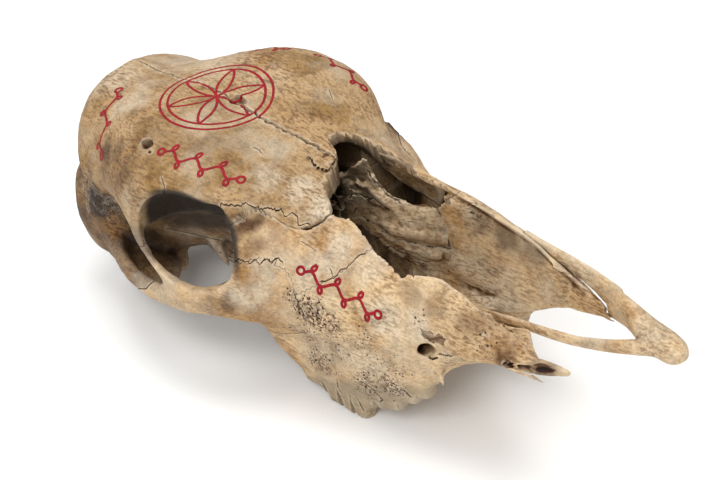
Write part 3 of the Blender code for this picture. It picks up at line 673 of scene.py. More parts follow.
def sheet_through(name, rows, thickness, per_span=4):
    """A thin closed plate through rows of points, each row as long as the others."""
    fine = [curved(row, per_span) for row in rows]
    columns = [curved(column, per_span) for column in zip(*fine)]
    grid = np.array([[list(p) for p in column] for column in columns])
    across = np.gradient(grid, axis=0)
    down = np.gradient(grid, axis=1)
    normal = np.cross(across, down)
    normal /= np.linalg.norm(normal, axis=2)[:, :, None]
    edge = np.minimum(1, 0.35 + np.minimum(*[
        np.minimum.outer(*[np.minimum(np.arange(n), np.arange(n)[::-1]) for n in grid.shape[:2]])] * 2) / 3)
    half = normal * edge[:, :, None] * thickness / 2
    front, back = (grid + half).reshape(-1, 3), (grid - half).reshape(-1, 3)
    m, n = grid.shape[:2]
    faces = []
    for i in range(m - 1):
        for j in range(n - 1):
            a, b, c, d = i * n + j, (i + 1) * n + j, (i + 1) * n + j + 1, i * n + j + 1
            faces += [(a, b, c, d), (a + m * n, d + m * n, c + m * n, b + m * n)]
    rim = ([(i, 0) for i in range(m)] + [(m - 1, j) for j in range(1, n)] + [(i, n - 1) for i in range(m - 2,
                                                                                                       -1,
                                                                                                       -1)]
           + [(0, j) for j in range(n - 2, 0, -1)])
    for (i, j), (k, l) in zip(rim, rim[1:] + rim[:1]):
        faces.append((i * n + j, i * n + j + m * n, k * n + l + m * n, k * n + l))
    obj = linked(name, mesh_of(name, np.concatenate([front, back]) * MM, faces))
    bm = bmesh.new()
    bm.from_mesh(obj.data)
    bmesh.ops.recalc_face_normals(bm, faces=bm.faces)
    bm.to_mesh(obj.data)
    bm.free()
    return obj


def nose_plates():
    """The thin walls inside the nose, each with its skin before the cracks: a cracked side plate with the
    tear duct's tube on it, scrolls behind it, the inner wall of the eye and an amber lamella."""
    plate = sheet_through("side_plate", [
        [(175, 9, 106), (191, 12, 115), (200, 14.5, 117), (203, 18, 98), (216, 22, 89), (227, 28, 87),
         (231, 34, 78)],
        [(177, 7.5, 98), (187, 10.5, 102), (198, 13, 101), (206, 16.5, 90), (216, 20.5, 82), (226, 27, 76),
         (234, 33, 68)],
        [(178, 7, 87), (186, 10, 88), (196, 12.5, 85), (204, 16, 77), (213, 20, 68), (223, 26, 62),
         (232, 33, 55)],
        [(176, 9, 75), (182, 12, 72), (190, 14.5, 64), (197, 18, 55), (205, 22, 47), (214, 28, 40),
         (222, 34, 34)]], 1.7, 6)
    duct = tube("tear_duct", [(192, 13, 80, 1.6, 2.0), (202, 15.5, 75, 3.0, 3.6), (211, 19.5, 71, 3.8, 4.4),
                              (221, 25.5, 67, 4.0, 4.6), (234, 31.5, 63, 4.0, 4.6)])
    ledge = tube("ledge", [(196, 15, 68, 1.2, 1.6), (206, 18.5, 61, 2, 2.2), (216, 23, 56, 2.2, 2.6),
                           (227, 29, 53, 2.4, 3)])
    fold = tube("fold", [(190, 9.5, 104, 1.2, 1.8), (199, 13, 97, 1.8, 2.2), (206, 15.5, 88, 1.8, 2.2),
                         (213, 19, 79, 1.2, 1.6)])
    whole = combined(plate, [duct, ledge, fold], "UNION")
    run_together(whole, 0.9, 4, 0.1)
    points, normals = points_of(whole.data), normals_of(whole.data)
    waves = 1.1 * blobs(points, 9, 81) + 0.55 * blobs(points, 4, 82) + 0.25 * blobs(points, 1.8, 85)
    put_points(whole.data, points + normals * waves[:, None])
    tree = skin_tree(whole)
    cracks = [([(182, 8, 93), (190, 11, 96), (199, 14, 92), (207, 17, 84)], 1.3, 3.0, 0.9, 0.8),
              ([(190, 11, 96), (186, 10, 90), (183, 9, 82)], 1.1, 2.5, 0.6, 0.8),
              ([(211, 18.5, 77), (217, 21, 76), (222, 24, 79)], 1.3, 3.0, 0.6, 0.8),
              ([(180, 8, 80), (186, 11, 80), (191, 13, 77)], 1.2, 2.5, 0.5, 0.8),
              ([(196, 15, 62), (203, 19, 54), (210, 24, 46)], 1.4, 2.5, 0.5, 0.8),
              ([(195, 14, 71), (205, 17.5, 65.5), (216, 22, 61.5), (227, 28, 58), (233, 32, 55)], 2.0, 3.5,
               0.4, 0.8),
              ([(187, 13, 66), (198, 17, 58), (210, 22, 51), (219, 27, 46)], 1.4, 3.0, 0.8, 0.8),
              ([(192, 15, 60), (203, 19.5, 52), (214, 26, 44)], 0.9, 2.0, 0.6, 0.8),
              ([(203, 19, 58), (214, 23, 54), (226, 29, 50)], 0.8, 1.8, 0.5, 0.8),
              ([(184, 9, 101), (192, 12, 93), (202, 15, 86)], 0.9, 2.0, 0.9, 0.8),
              ([(198, 13.5, 112), (201, 15, 103), (207, 17.5, 94), (214, 20.5, 88)], 1.1, 2.4, 0.7, 0.8),
              ([(200, 14, 106), (206, 17, 97), (213, 20, 90)], 1.0, 2.0, 0.5, 0.8)]
    combined(whole, [groove(tree, line, width, depth, jag, step, 90 + k)
                     for k, (line, width, depth, jag, step) in enumerate(cracks)], "DIFFERENCE")
    scrolls = []
    for k, (y, z, reach) in enumerate(((-4, 104, 12), (3, 97, 15), (8, 90, 12), (-9, 92, 10), (1, 84, 14))):
        rows = []
        for x in (146, 156, 166, 174):
            turn = (x - 150) / 40
            rows.append([(x, y + reach * 0.35 * math.cos(a + turn), z + reach * 0.5 * math.sin(a + turn))
                         for a in np.linspace(0.2 + k, 3.9 + k, 5)])
        scrolls.append(sheet_through("scroll", rows, 0.9, 4))
    scroll = combined(scrolls[0], scrolls[1:], "UNION")
    band = sheet_through("inner_band", [
        [(193, 25, 117), (200, 28, 114), (208, 31, 110), (217, 32.5, 105), (228, 33, 100), (239, 33, 95)],
        [(193, 27, 111), (198, 30, 107), (205, 33, 101), (213, 35, 96), (223, 35.5, 92), (233, 35, 88)],
        [(195, 28, 106), (198, 31.5, 99), (201, 35, 93), (209, 37, 87.5), (216, 37.5, 85), (227, 36, 81)]],
                         1.6, 5)
    points, normals = points_of(band.data), normals_of(band.data)
    waves = 0.7 * blobs(points, 7, 83) + 0.3 * blobs(points, 2.5, 84)
    put_points(band.data, points + normals * waves[:, None])
    amber = sheet_through("amber", [[(166, 3, 104), (166, 6, 95), (165, 8, 87)], [(172, 2, 104), (172, 5, 95),
                                    (171, 7, 86)], [(177, 1, 102), (178, 4, 94), (176, 6, 86)]], 0.7, 4)
    return {"nose_side_plate": (whole, tree), "nose_scrolls": (scroll, skin_tree(scroll)),
            "inner_eye_wall": (band, skin_tree(band)), "amber_lamella": (amber, skin_tree(amber))}


# Colour that follows the surface


STAINS_AND_SHADE = [  # brown stains, and painted shade inside the eye sockets, the nose and the skull and below the top edge of the nasal wall, by centre, radius and strength
    ((173, -87, 72), 10, 0.8), ((160, -91, 66), 10, 0.6), ((110, -87, 96), 13, 1.0),
    ((30, -66, 104), 18, 1.0), ((246, 36, 84), 13, 0.75), ((262, 34, 78), 14, 0.8),
    ((280, 33, 72), 13, 0.75), ((300, 32, 64), 11, 0.6), ((277, -42, 74), 10, 0.6),
    ((292, -38, 68), 11, 0.7), ((226, 46, 66), 9, 0.5), ((240, 40, 40), 14, 0.4), ((165, -89, 71), 10, 0.6),
    ((240, -52, 6), 12, 0.6), ((262, -48, 14), 10, 0.6), ((200, -62, 40), 14, 0.5),
    ((62, -66, 140), 15, 0.9), ((78, -68, 145), 13, 0.7), ((103, -77, 137), 10, 0.4),
    ((109, -86, 102), 14, 0.9), ((330, -36, 42), 12, 0.9), ((350, -30, 38), 10, 1.0),
    ((333, -36, 47), 12, 0.6), ((290, -46, 57), 10, 0.4), ((311, -36, 60), 12, 0.7),
    ((252, 42, 80), 14, 0.6), ((280, 38, 76), 12, 0.5), ((300, 34, 50), 12, 0.4), ((98, -60, 150), 20, 0.5),
    ((90, -72, 132), 22, 0.7), ((60, -66, 128), 18, 0.5), ((112, -80, 120), 16, 0.4),
    ((132, -50, 140), 16, 0.55), ((150, -44, 132), 13, 0.35), ((176, -62, 108), 16, 0.9),
    ((186, -66, 100), 12, 0.7), ((150, -70, 100), 20, 0.9), ((40, -62, 108), 18, 1.0),
    ((52, -64, 96), 14, 0.9), ((60, -60, 80), 20, 0.8), ((10, -60, 90), 22, 0.8), ((12, -50, 60), 20, 0.8),
    ((214, -66, 64), 10, 0.6), ((205, -60, 20), 16, 0.5), ((215, -58, 10), 14, 0.6),
    ((245, -48, 14), 16, 0.5), ((130, 72, 138), 16, 0.5), ((110, 60, 150), 14, 0.4),
    ((170, 60, 128), 14, 0.45), ((60, 66, 96), 24, 0.9), ((14, 50, 80), 26, 0.8), ((0, 0, 60), 30, 0.7),
    ((300, -40, 56), 16, 0.35), ((322, -28, 52), 14, 0.5), ((338, -20, 40), 10, 0.8),
    ((190, -20, 128), 9, 0.3), ((160, 70, 60), 24, 0.5), ((200, 60, 60), 20, 0.4), ((150, 0, 60), 60, 0.5),
    ((262, 24, 60), 18, 0.3),
]
BLEACH_AND_LIGHT_SPOTS = [  # whitish places, and painted light on the inner face of the left maxilla
    ((210, -36, 109), 13, 0.9), ((196, -34, 120), 14, 0.7), ((181, -41, 128), 12, 0.6),
    ((228, -46, 94), 12, 0.8), ((252, -42, 86), 12, 0.6), ((262, 31, 36), 20, 0.9), ((244, 30, 52), 14, 0.8),
    ((212, 26, 48), 14, 0.6), ((179, -80, 74), 12, 0.8), ((190, -76, 76), 10, 0.7),
    ((193, -70, 86), 10, 0.5), ((217, -57, 86), 14, 0.8), ((224, -52, 88), 10, 0.7),
    ((250, 38, 50), 20, 0.9), ((276, 30, 40), 18, 0.7), ((236, 40, 60), 16, 0.8), ((306, 30, 44), 12, 0.6),
    ((24, -24, 171), 24, 0.55), ((60, -40, 164), 18, 0.4), ((80, 14, 165), 26, 0.5),
    ((60, 40, 160), 24, 0.5), ((262, -52, 62), 16, 0.8), ((280, -48, 60), 10, 0.5),
    ((230, -58, 72), 12, 0.35), ((222, -62, 70), 10, 0.4), ((100, -78, 122), 12, 0.5),
    ((240, -55, 30), 20, 0.6), ((120, 20, 154), 20, 0.3), ((330, 30, 58), 14, 0.5),
    ((380, 22, 36), 16, 0.45), ((300, 28, 60), 10, 0.2), ((208, -46, 96), 9, 0.35),
    ((108, -92, 84), 10, 0.4), ((150, -88, 70), 12, 0.35), ((246, 52, 50), 24, 0.5),
    ((90, -88, 70), 10, 0.3),
]
GREY = [  # where dust has settled and the grey inner layer shows, and painted shade below the top edge of the nasal wall
    ((262, 30, 84), 14, 0.8), ((276, 30, 74), 12, 0.7), ((300, 31, 68), 12, 0.7), ((318, 31, 60), 10, 0.5),
    ((130, 44, 148), 10, 0.4), ((110, -80, 124), 12, 0.5), ((12, -56, 140), 16, 0.4),
    ((222, -60, 40), 16, 0.35), ((300, -47, 40), 10, 0.5), ((150, 30, 146), 8, 0.25),
    ((250, -56, 44), 12, 0.3), ((386, 20, 36), 8, 0.4),
]


def patches(points, spots, seed):
    """How strongly each point lies in any of the soft, uneven spots."""
    uneven = 0.3 * blobs(points, 9, seed) + 0.18 * blobs(points, 4, seed + 1)
    total = np.zeros(len(points))
    for centre, radius, strength in spots:
        away = np.linalg.norm(points - np.array(centre), axis=1) / radius
        total = np.maximum(total, strength * (1 - eased(away + uneven, 0.25, 1.15)))
    return total


class Field:
    """Values known at scattered places, blurred over a few cells and read back anywhere."""

    def __init__(self, points, values, cell, blur=1.2):
        self.low, self.cell = points.min(axis=0) - 6 * cell, cell
        size = np.ceil((points.max(axis=0) + 6 * cell - self.low) / cell).astype(int)
        extent = [(l, l + s * cell) for l, s in zip(self.low, size)]
        kernel = np.exp(-0.5 * (np.arange(-4, 5) / blur) ** 2)
        self.grids = []
        for weights in (None, values):
            grid, _ = np.histogramdd(points, bins=size, range=extent, weights=weights)
            for axis in range(3):
                grid = np.apply_along_axis(np.convolve, axis, grid, kernel, "same")
            self.grids.append(grid)

    def at(self, points):
        most = np.array(self.grids[0].shape) - 1
        place = np.clip((points - self.low) / self.cell - 0.5, 0, most - 0.001)
        base = place.astype(int)
        t = place - base
        sums = [np.zeros(len(points)), np.zeros(len(points))]
        for corner in np.ndindex(2, 2, 2):
            i, j, k = np.minimum(base + corner, most).T
            weight = np.prod(np.where(corner, t, 1 - t), axis=1)
            for total, grid in zip(sums, self.grids):
                total += weight * grid[i, j, k]
        return sums[1] / np.maximum(sums[0], 1e-6)


SHADING = 0.07  # how near other bone has to be to keep light off, in metres
RAYS = 26  # looks taken from each place


def shut_in(body):
    """How shut in each part of the skin is: the share of its view that other bone fills, on a coarse copy; it
    sets the painted shade in hollows.
    """
    coarse = linked("coarse", body.data.copy())
    run_together(coarse, 3.2, 2, 0)
    tree = skin_tree(coarse)
    points, normals = points_of(coarse.data), normals_of(coarse.data)
    bpy.data.objects.remove(coarse)
    random = np.random.default_rng(5)
    spread = random.normal(size=(RAYS, 3))
    spread /= np.linalg.norm(spread, axis=1)[:, None]
    hidden = np.zeros(len(points))
    for i, (point, normal) in enumerate(zip(points, normals)):
        start = Vector((point + normal * 0.8) * MM)
        for away in spread * 0.98 + normal:
            hit = tree.ray_cast(start, Vector(away).normalized(), SHADING)
            if hit[3] is not None:
                hidden[i] += 1 - hit[3] / SHADING
    return Field(points + normals * 1.5, hidden / RAYS, 3.0)


def set_values(mesh, name, values):
    layer = mesh.attributes.new(name, "FLOAT", "POINT")
    layer.data.foreach_set("value", np.clip(values, 0, 1).astype(np.float32))


SOCKET = ((143, 84, 103), (37, 46, 25), (0, 20, -22))  # the eye socket's hollow: centre, radii, turn


def in_socket(points):
    """How deep in either eye socket a place lies: 0 at its rim and outside, 1 on its walls, which get the
    painted shade.
    """
    centre, radii, turn = SOCKET
    turned = (Matrix.Rotation(math.radians(turn[2]), 3, "Z") @ Matrix.Rotation(math.radians(turn[1]), 3, "Y"))
    sides = points * (1, 0, 1) + np.abs(points) * (0, 1, 0)
    away = np.linalg.norm((sides - np.array(centre)) @ np.array(turned) / np.array(radii), axis=1)
    hollow = eased(1.16 - away, 0, 0.1) * eased(83 - sides[:, 1], 0, 6)
    back = np.linalg.norm((sides - np.array((112, 54, 98))) / np.array((44, 30, 27)), axis=1)
    return np.maximum(hollow, 0.8 * eased(1.1 - back, 0, 0.35) * eased(79 - sides[:, 1], 0, 5))


def bends(mesh, points, normals):
    """How much each point stands out of the ones round it, in tenths of the distance between them."""
    edges = np.empty(len(mesh.edges) * 2, int)
    mesh.edges.foreach_get("vertices", edges)
    a, b = edges.reshape(-1, 2).T
    count = np.maximum(np.bincount(a, minlength=len(points)) + np.bincount(b, minlength=len(points)), 1)

    def average(values):
        return (np.bincount(a, values[b], len(points)) + np.bincount(b, values[a], len(points))) / count

    around = np.stack([average(points[:, k]) for k in range(3)], axis=1)
    length = np.bincount(a, np.linalg.norm(points[a] - points[b], axis=1), len(points)) + 1e-6
    length = length / np.maximum(np.bincount(a, minlength=len(points)), 1)
    out = ((points - around) * normals).sum(axis=1) / np.maximum(length, 0.15) * 10
    return average(average(average(out)))


# What the bone's points carry for its colour, each from 0 to 1: stains and grey and whitish spots, some of
# them painted shade and painted light, painted shade in hollows, cuts, eye sockets, nose and creases, a
# painted highlight on bumps, spongy cells and the teeth
LAYER_NAMES = ("brown", "bleached", "grey", "hollow", "recess", "deep", "spongy", "crease", "worn", "tooth")


def dressed(obj, shut, whole):
    """Writes the stains, and the painted shade of hollows, cuts, creases, eye sockets and nose with a painted
    highlight on bumps, on the bone's points.
    """
    points, normals = points_of(obj.data), normals_of(obj.data)
    x, y, z = points.T
    # The inner face of the left maxilla gets little of the painted shade, so it stays light.
    open_wall = eased(x, 188, 222) * (y > 8) * (z > 30) * eased(-normals[:, 1], -0.1, 0.4)
    depth = np.array([whole.find_nearest(Vector(point) * MM)[3] for point in points]) / MM
    inside_nose = eased(218 - x, 0, 26) * eased(z, 74, 96) * (np.abs(y) < 30)
    inside_nose = inside_nose * eased(0.35 - normals[:, 2], 0, 0.3) * eased(x, 120, 150)
    out = bends(obj.data, points, normals)
    tooth_row = (x > 168) * (x < 290) * (np.abs(y) > 30)
    # Some stain, grey and whitish spots are painted shade and painted light; then painted shade where other
    # bone is near, deeper in cuts, in the eye sockets and the nose and in creases, and a painted highlight on
    # bumps.
    values = (patches(points, STAINS_AND_SHADE, 21), 0.8 * patches(points, BLEACH_AND_LIGHT_SPOTS, 31),
              0.55 * patches(points, GREY, 41),
              eased(shut.at(points + normals * 1.5), 0.2, 0.62) * (1 - 0.9 * open_wall),
              0.45 * eased(depth, 0.05, 0.5) + 0.55 * eased(depth, 0.8, 3.5),
              0.95 * np.maximum(in_socket(points), 0.85 * inside_nose), patches(points, POROUS, 71),
              eased(-out, 0.12, 0.9), 0.2 * eased(out, 0.15, 1.0),
              0.75 * eased(12 - z + 0.1 * (x - 215), -3, 5) * tooth_row)
    for name, value in zip(LAYER_NAMES, values):
        set_values(obj.data, name, value)


# Materials


def linear(code):
    """A #rrggbb colour as linear red, green, blue and alpha."""
    channels = [int(code[i:i + 2], 16) / 255 for i in (1, 3, 5)]
    return (*(c / 12.92 if c <= 0.04045 else ((c + 0.055) / 1.055) ** 2.4 for c in channels), 1)


def blank(name):
    material = bpy.data.materials.new(name)
    material.use_nodes = True
    tree = material.node_tree
    return material, tree, tree.nodes["Principled BSDF"]


def dry_bone(name, pale, tan, brown, dark, chalk="#beb19c", honey="#a87a42"):
    """Weathered dry bone: a chalky, matt surface, cream to tan in clouds, brown where damp has stained it,
    with fine grain along the bone and pinhole pores. The dark colour and the points' layers add painted shade
    in hollows, cuts, creases, the eye sockets and the nose and a painted highlight on bumps, and some of the
    brown, grey and whitish spots are painted shade and painted light."""
    material, tree, shader = blank(name)
    place = add(tree, "ShaderNodeTexCoord").outputs["Object"]
    along = add(tree, "ShaderNodeMapping", None, Vector=place, Scale=(0.35, 1.0, 1.3),
                Rotation=(0.0, 0.5, 0.2))
    layer = {key: add(tree, "ShaderNodeAttribute",
                      {"attribute_name": key}).outputs["Fac"] for key in LAYER_NAMES}
    noise = {key: add(tree, "ShaderNodeTexNoise", None, Vector=where, Scale=scale, Detail=detail,
                      Roughness=rough,
                      Distortion=warp).outputs["Fac"]
             for key, where, scale, detail, rough, warp in (
                 ("cloud", place, 34.0, 7.0, 0.62, 0.4),  # tan clouds 30 mm wide
                 ("wide", place, 21.0, 5.0, 0.6, 0.0),  # chalk and honey in patches of 50 mm
                 ("mottle", place, 120.0, 9.0, 0.74, 0.0),  # stains with edges of 8 mm
                 ("fine", place, 620.0, 5.0, 0.7, 0.0),  # the grain, 1.6 mm
                 ("porous", place, 26.0, 3.0, 0.5, 0.0),  # pores come in patches of 40 mm
                 ("speck", place, 430.0, 4.0, 0.6, 0.0),  # the cells of spongy bone, 2.3 mm
                 ("fibre", along.outputs[0], 560.0, 4.0, 0.6, 0.0))}  # fibres 1.8 mm apart and 5 mm long
    pores = add(tree, "ShaderNodeTexVoronoi", None, Vector=place, Scale=620.0,
                Randomness=1.0).outputs["Distance"]
    graded = {key: add(tree, "ShaderNodeValToRGB", {"stops": stops}, _0=source).outputs[0]
              for key, source, stops in (
                  ("clouds", noise["cloud"], [(0.38, linear(tan)), (0.52, linear(pale)),
                                              (0.68, linear(pale))]),
                  ("chalky", noise["wide"], [(0.5, 0.0), (0.66, 0.55)]),
                  ("honeyed", noise["wide"], [(0.3, 0.5), (0.45, 0.0)]),
                  ("mottled", noise["mottle"], [(0.34, 0.4), (0.52, 1.0)]),
                  ("grainy", noise["fine"], [(0.36, 0.4), (0.56, 1.0)]),
                  ("pores", pores, [(0.08, 0.35), (0.22, 1.0)]),
                  ("porous", noise["porous"], [(0.48, 0.0), (0.66, 0.75)]),
                  ("specks", noise["speck"], [(0.44, linear("#7a5a38")), (0.53, 1.0)]),
                  ("fibres", noise["fibre"], [(0.42, linear("#94754d")), (0.52, 1.0)]),
                  ("fibrous", noise["wide"], [(0.36, 0.75), (0.6, 0.15)]),
                  ("rough", noise["mottle"], [(0.3, 0.5), (0.7, 0.72)]))}
    # The brown of the stains, some of them painted shade, broken up by the mottle
    stain_and_shade = add(tree, "ShaderNodeMath", {"operation": "MULTIPLY_ADD"}, _0=noise["mottle"], _1=1.5, _2=-0.62)
    stain_and_shade = add(tree, "ShaderNodeMath", {"operation": "ADD"}, _0=layer["brown"], _1=stain_and_shade.outputs[0])
    stain_and_shade = add(tree, "ShaderNodeMath", {"operation": "MULTIPLY", "use_clamp": True}, _0=stain_and_shade.outputs[0],
                _1=layer["brown"])
    base = graded["clouds"]
    for factor, blend, colour in (
            (graded["chalky"], "MIX", linear(chalk)), (graded["honeyed"], "MIX", linear(honey)),
            # brown stains and whitish spots, some of them painted shade and painted light
            (stain_and_shade.outputs[0], "MIX", linear(brown)), (layer["bleached"], "MIX", linear("#d6c8b0")),
            # grey dust, and painted shade below the top edge of the nasal wall
            (layer["grey"], "MIX", linear("#8e8373")), (0.6, "MULTIPLY", graded["mottled"]),
            (0.4, "MULTIPLY", graded["grainy"]), (layer["tooth"], "MIX", linear("#95866f")),
            # painted shade in hollows and in cuts
            (layer["hollow"], "MULTIPLY", linear(dark)), (layer["recess"], "MULTIPLY", linear("#6a5036")),
            (graded["porous"], "MULTIPLY", graded["pores"]), (layer["spongy"], "MULTIPLY", graded["specks"]),
            (graded["fibrous"], "MULTIPLY", graded["fibres"]),
            # painted shade in creases
            (layer["crease"], "MULTIPLY", linear("#8a6e50")),
            # a painted highlight on bumps, and the eye sockets and the nose painted near black as shade
            (layer["worn"], "MIX", linear("#e3d6bf")), (layer["deep"], "MIX", linear("#160c05"))):
        base = add(tree, "ShaderNodeMix", {"data_type": "RGBA", "blend_type": blend}, _0=factor, _6=base,
                   _7=colour).outputs[2]
    tree.links.new(base, shader.inputs["Base Color"])
    tree.links.new(graded["rough"], shader.inputs["Roughness"])
    shader.inputs["Specular IOR Level"].default_value = 0.32
    height = add(tree, "ShaderNodeMath", {"operation": "MULTIPLY_ADD"}, _0=noise["fine"], _1=0.7,
                 _2=noise["mottle"]).outputs[0]
    bump = add(tree, "ShaderNodeBump", None, Strength=0.8, Distance=0.7 * MM, Height=height)
    pitted = add(tree, "ShaderNodeBump", None, Strength=0.35, Distance=0.4 * MM, Height=graded["pores"],
                 Normal=bump.outputs[0])
    tree.links.new(pitted.outputs[0], shader.inputs["Normal"])
    return material


def red_paint():
    """Matt acrylic paint laid on with a fine brush: an even crimson, thinner and darker in the grain."""
    material, tree, shader = blank("crimson_brushed_paint")
    place = add(tree, "ShaderNodeTexCoord").outputs["Object"]
    # streaks 2.4 mm apart
    streak = add(tree, "ShaderNodeTexNoise", None, Vector=place, Scale=420.0, Detail=4.0).outputs["Fac"]
    crimson = add(tree, "ShaderNodeValToRGB", {"stops": [(0.3, linear("#6a0f18")),
                                                         (0.62, linear("#97101f"))]},
                  _0=streak)
    tree.links.new(crimson.outputs[0], shader.inputs["Base Color"])
    shader.inputs["Roughness"].default_value = 0.6
    shader.inputs["Specular IOR Level"].default_value = 0.2
    bump = add(tree, "ShaderNodeBump", None, Strength=0.3, Distance=0.2 * MM, Height=streak)
    tree.links.new(bump.outputs[0], shader.inputs["Normal"])
    return material


def studio_floor():
    """Seamless white paper: matt and even."""
    material, tree, shader = blank("white_paper")
    place = add(tree, "ShaderNodeTexCoord").outputs["Object"]
    # the paper's grain, 1.1 mm
    grain = add(tree, "ShaderNodeTexNoise", None, Vector=place, Scale=900.0, Detail=2.0).outputs["Fac"]
    white = add(tree, "ShaderNodeValToRGB", {"stops": [(0.3, linear("#f4f4f3")), (0.7, linear("#f8f8f7"))]},
                _0=grain)
    tree.links.new(white.outputs[0], shader.inputs["Base Color"])
    shader.inputs["Roughness"].default_value = 0.9
    return material


# The painted ornament


def stroke_tree():
    """Lays a brush stroke on the bone: a round bead along each curve, pressed flat on the skin below it."""
    tree, given = tree_with("brush_stroke", (("Bone", "Object"), ("Width", "Float"), ("Thickness", "Float"),
                                             ("Step", "Float"), ("Paint", "Material")))
    bone = add(tree, "GeometryNodeObjectInfo", {"transform_space": "RELATIVE"}, Object=given["Bone"])
    radius = add(tree, "ShaderNodeMath", {"operation": "MULTIPLY"}, _0=given["Width"], _1=0.5 * MM).outputs[0]
    step = add(tree, "ShaderNodeMath", {"operation": "MULTIPLY"}, _0=given["Step"], _1=MM).outputs[0]
    fine = add(tree, "GeometryNodeResampleCurve", {"mode": "LENGTH"}, Curve=given["Geometry"], Length=step)
    ring = add(tree, "GeometryNodeCurvePrimitiveCircle", None, Resolution=8, Radius=radius)
    bead = add(tree, "GeometryNodeCurveToMesh", None, Curve=fine.outputs[0], Profile_Curve=ring.outputs[0],
               Fill_Caps=True)
    where = add(tree, "GeometryNodeInputPosition").outputs[0]
    near = add(tree, "GeometryNodeProximity", {"target_element": "FACES"}, _0=bone.outputs["Geometry"])
    normal = add(tree, "GeometryNodeInputNormal").outputs[0]
    skin = add(tree, "GeometryNodeSampleNearestSurface", {"data_type": "FLOAT_VECTOR"},
               Mesh=bone.outputs["Geometry"], Value=normal)
    above = add(tree, "ShaderNodeVectorMath", {"operation": "SUBTRACT"}, _0=where, _1=near.outputs[0])
    height = add(tree, "ShaderNodeVectorMath", {"operation": "DOT_PRODUCT"}, _0=above.outputs[0],
                 _1=skin.outputs[0])
    part = add(tree, "ShaderNodeMath", {"operation": "DIVIDE"}, _0=height.outputs["Value"], _1=radius)
    part = add(tree, "ShaderNodeMath", {"operation": "MULTIPLY"}, _0=part.outputs[0], _1=given["Thickness"])
    lift = add(tree, "ShaderNodeMath", {"operation": "MULTIPLY_ADD"}, _0=part.outputs[0], _1=0.5 * MM,
               _2=0.09 * MM)
    raised = add(tree, "ShaderNodeVectorMath", {"operation": "SCALE"}, _0=skin.outputs[0],
                 Scale=lift.outputs[0])
    final = add(tree, "ShaderNodeVectorMath", {"operation": "ADD"}, _0=near.outputs[0], _1=raised.outputs[0])
    laid = add(tree, "GeometryNodeSetPosition", None, Geometry=bead.outputs[0], Position=final.outputs[0])
    return tree_ended(tree, laid.outputs[0], given["Paint"])


def brushed(name, lines, skin, tree, paint, width):
    """Strokes along lines of places on the skin, as one mesh."""
    data = bpy.data.curves.new(name, "CURVE")
    data.dimensions = "3D"
    for line in lines:
        spline = data.splines.new("POLY")
        spline.points.add(len(line) - 1)
        for point, place in zip(spline.points, line):
            point.co = (*(Vector(place) * MM), 1)
            point.radius = 1.0
    obj = linked(name, data)
    run_tree(obj, tree, {"Bone": skin, "Width": width, "Thickness": 0.12, "Step": 0.7, "Paint": paint})
    graph = bpy.context.evaluated_depsgraph_get()
    mesh = bpy.data.meshes.new_from_object(obj.evaluated_get(graph))
    bpy.data.objects.remove(obj)
    return linked(name, mesh)


def ring(radius, start=0.0, end=360.0, centre=(0, 0), count=48):
    return [(centre[0] + radius * math.cos(math.radians(a)), centre[1] + radius * math.sin(math.radians(a)))
            for a in np.linspace(start, end, count)]


def rosette(radius):
    """A double ring round six petals drawn with the compass."""
    lines = [ring(radius), ring(radius * 0.86)]
    for k in range(6):
        a = math.radians(60 * k)
        tip = (radius * 0.86 * math.cos(a), radius * 0.86 * math.sin(a))
        for side in (-1, 1):
            b = a + side * math.pi / 3
            middle = (radius * 0.86 * math.cos(b), radius * 0.86 * math.sin(b))
            from_angle = math.degrees(math.atan2(-middle[1], -middle[0]))
            to_angle = math.degrees(math.atan2(tip[1] - middle[1], tip[0] - middle[0]))
            turn = (to_angle - from_angle + 180) % 360 - 180
            lines.append(ring(radius * 0.86, from_angle, from_angle + turn, middle, 14))
    return lines


def vine(length, waves, height):
    """A wavy stem with a leaf in each bend and a small ring at both ends."""
    stem = [(length * t, height * math.sin(math.tau * waves * t)) for t in np.linspace(0, 1, 16 * waves + 1)]
    lines = [stem]
    for k in range(2 * waves):
        x = length * (k + 0.5) / (2 * waves)
        side = 1 if k % 2 == 0 else -1
        root, tip = (x, side * height), (x + length * 0.02, side * height * 2.9)
        for bend in (-1, 1):
            lines.append([((1 - t) * root[0] + t * tip[0] + bend * height * 0.55 * math.sin(math.pi * t),
                           (1 - t) * root[1] + t * tip[1]) for t in np.linspace(0, 1, 7)])
    for x in (-2.2, length + 2.2):
        lines.append(ring(2.2, centre=(x, 0), count=17))
    return lines


def laid_on(tree, lines, centre, along, normal):
    """Flat lines in millimetres put on the skin round centre: u along a direction, v across it, seen down
    the normal."""
    normal, along = Vector(normal).normalized(), Vector(along)
    along = (along - normal * along.dot(normal)).normalized()
    across = normal.cross(along)
    placed = []
    for line in lines:
        spots = []
        for u, v in evenly(line, 1.2):
            start = (Vector(centre) + along * u + across * v + normal * 30) * MM
            hit = tree.ray_cast(start, -normal)
            if hit[0] is not None:
                spots.append(hit[0] / MM)
        if len(spots) > 1:
            placed.append(spots)
    return placed


def finished(piece, material):
    """Gives a dressed piece its material and lays it on the floor with the rest of the skull."""
    piece.data.materials.clear()
    piece.data.materials.append(material)
    piece.data.transform(RESTING)
    piece.data.polygons.foreach_set("use_smooth", np.ones(len(piece.data.polygons), bool))


# Making


body = body_whole()
shut = shut_in(body)
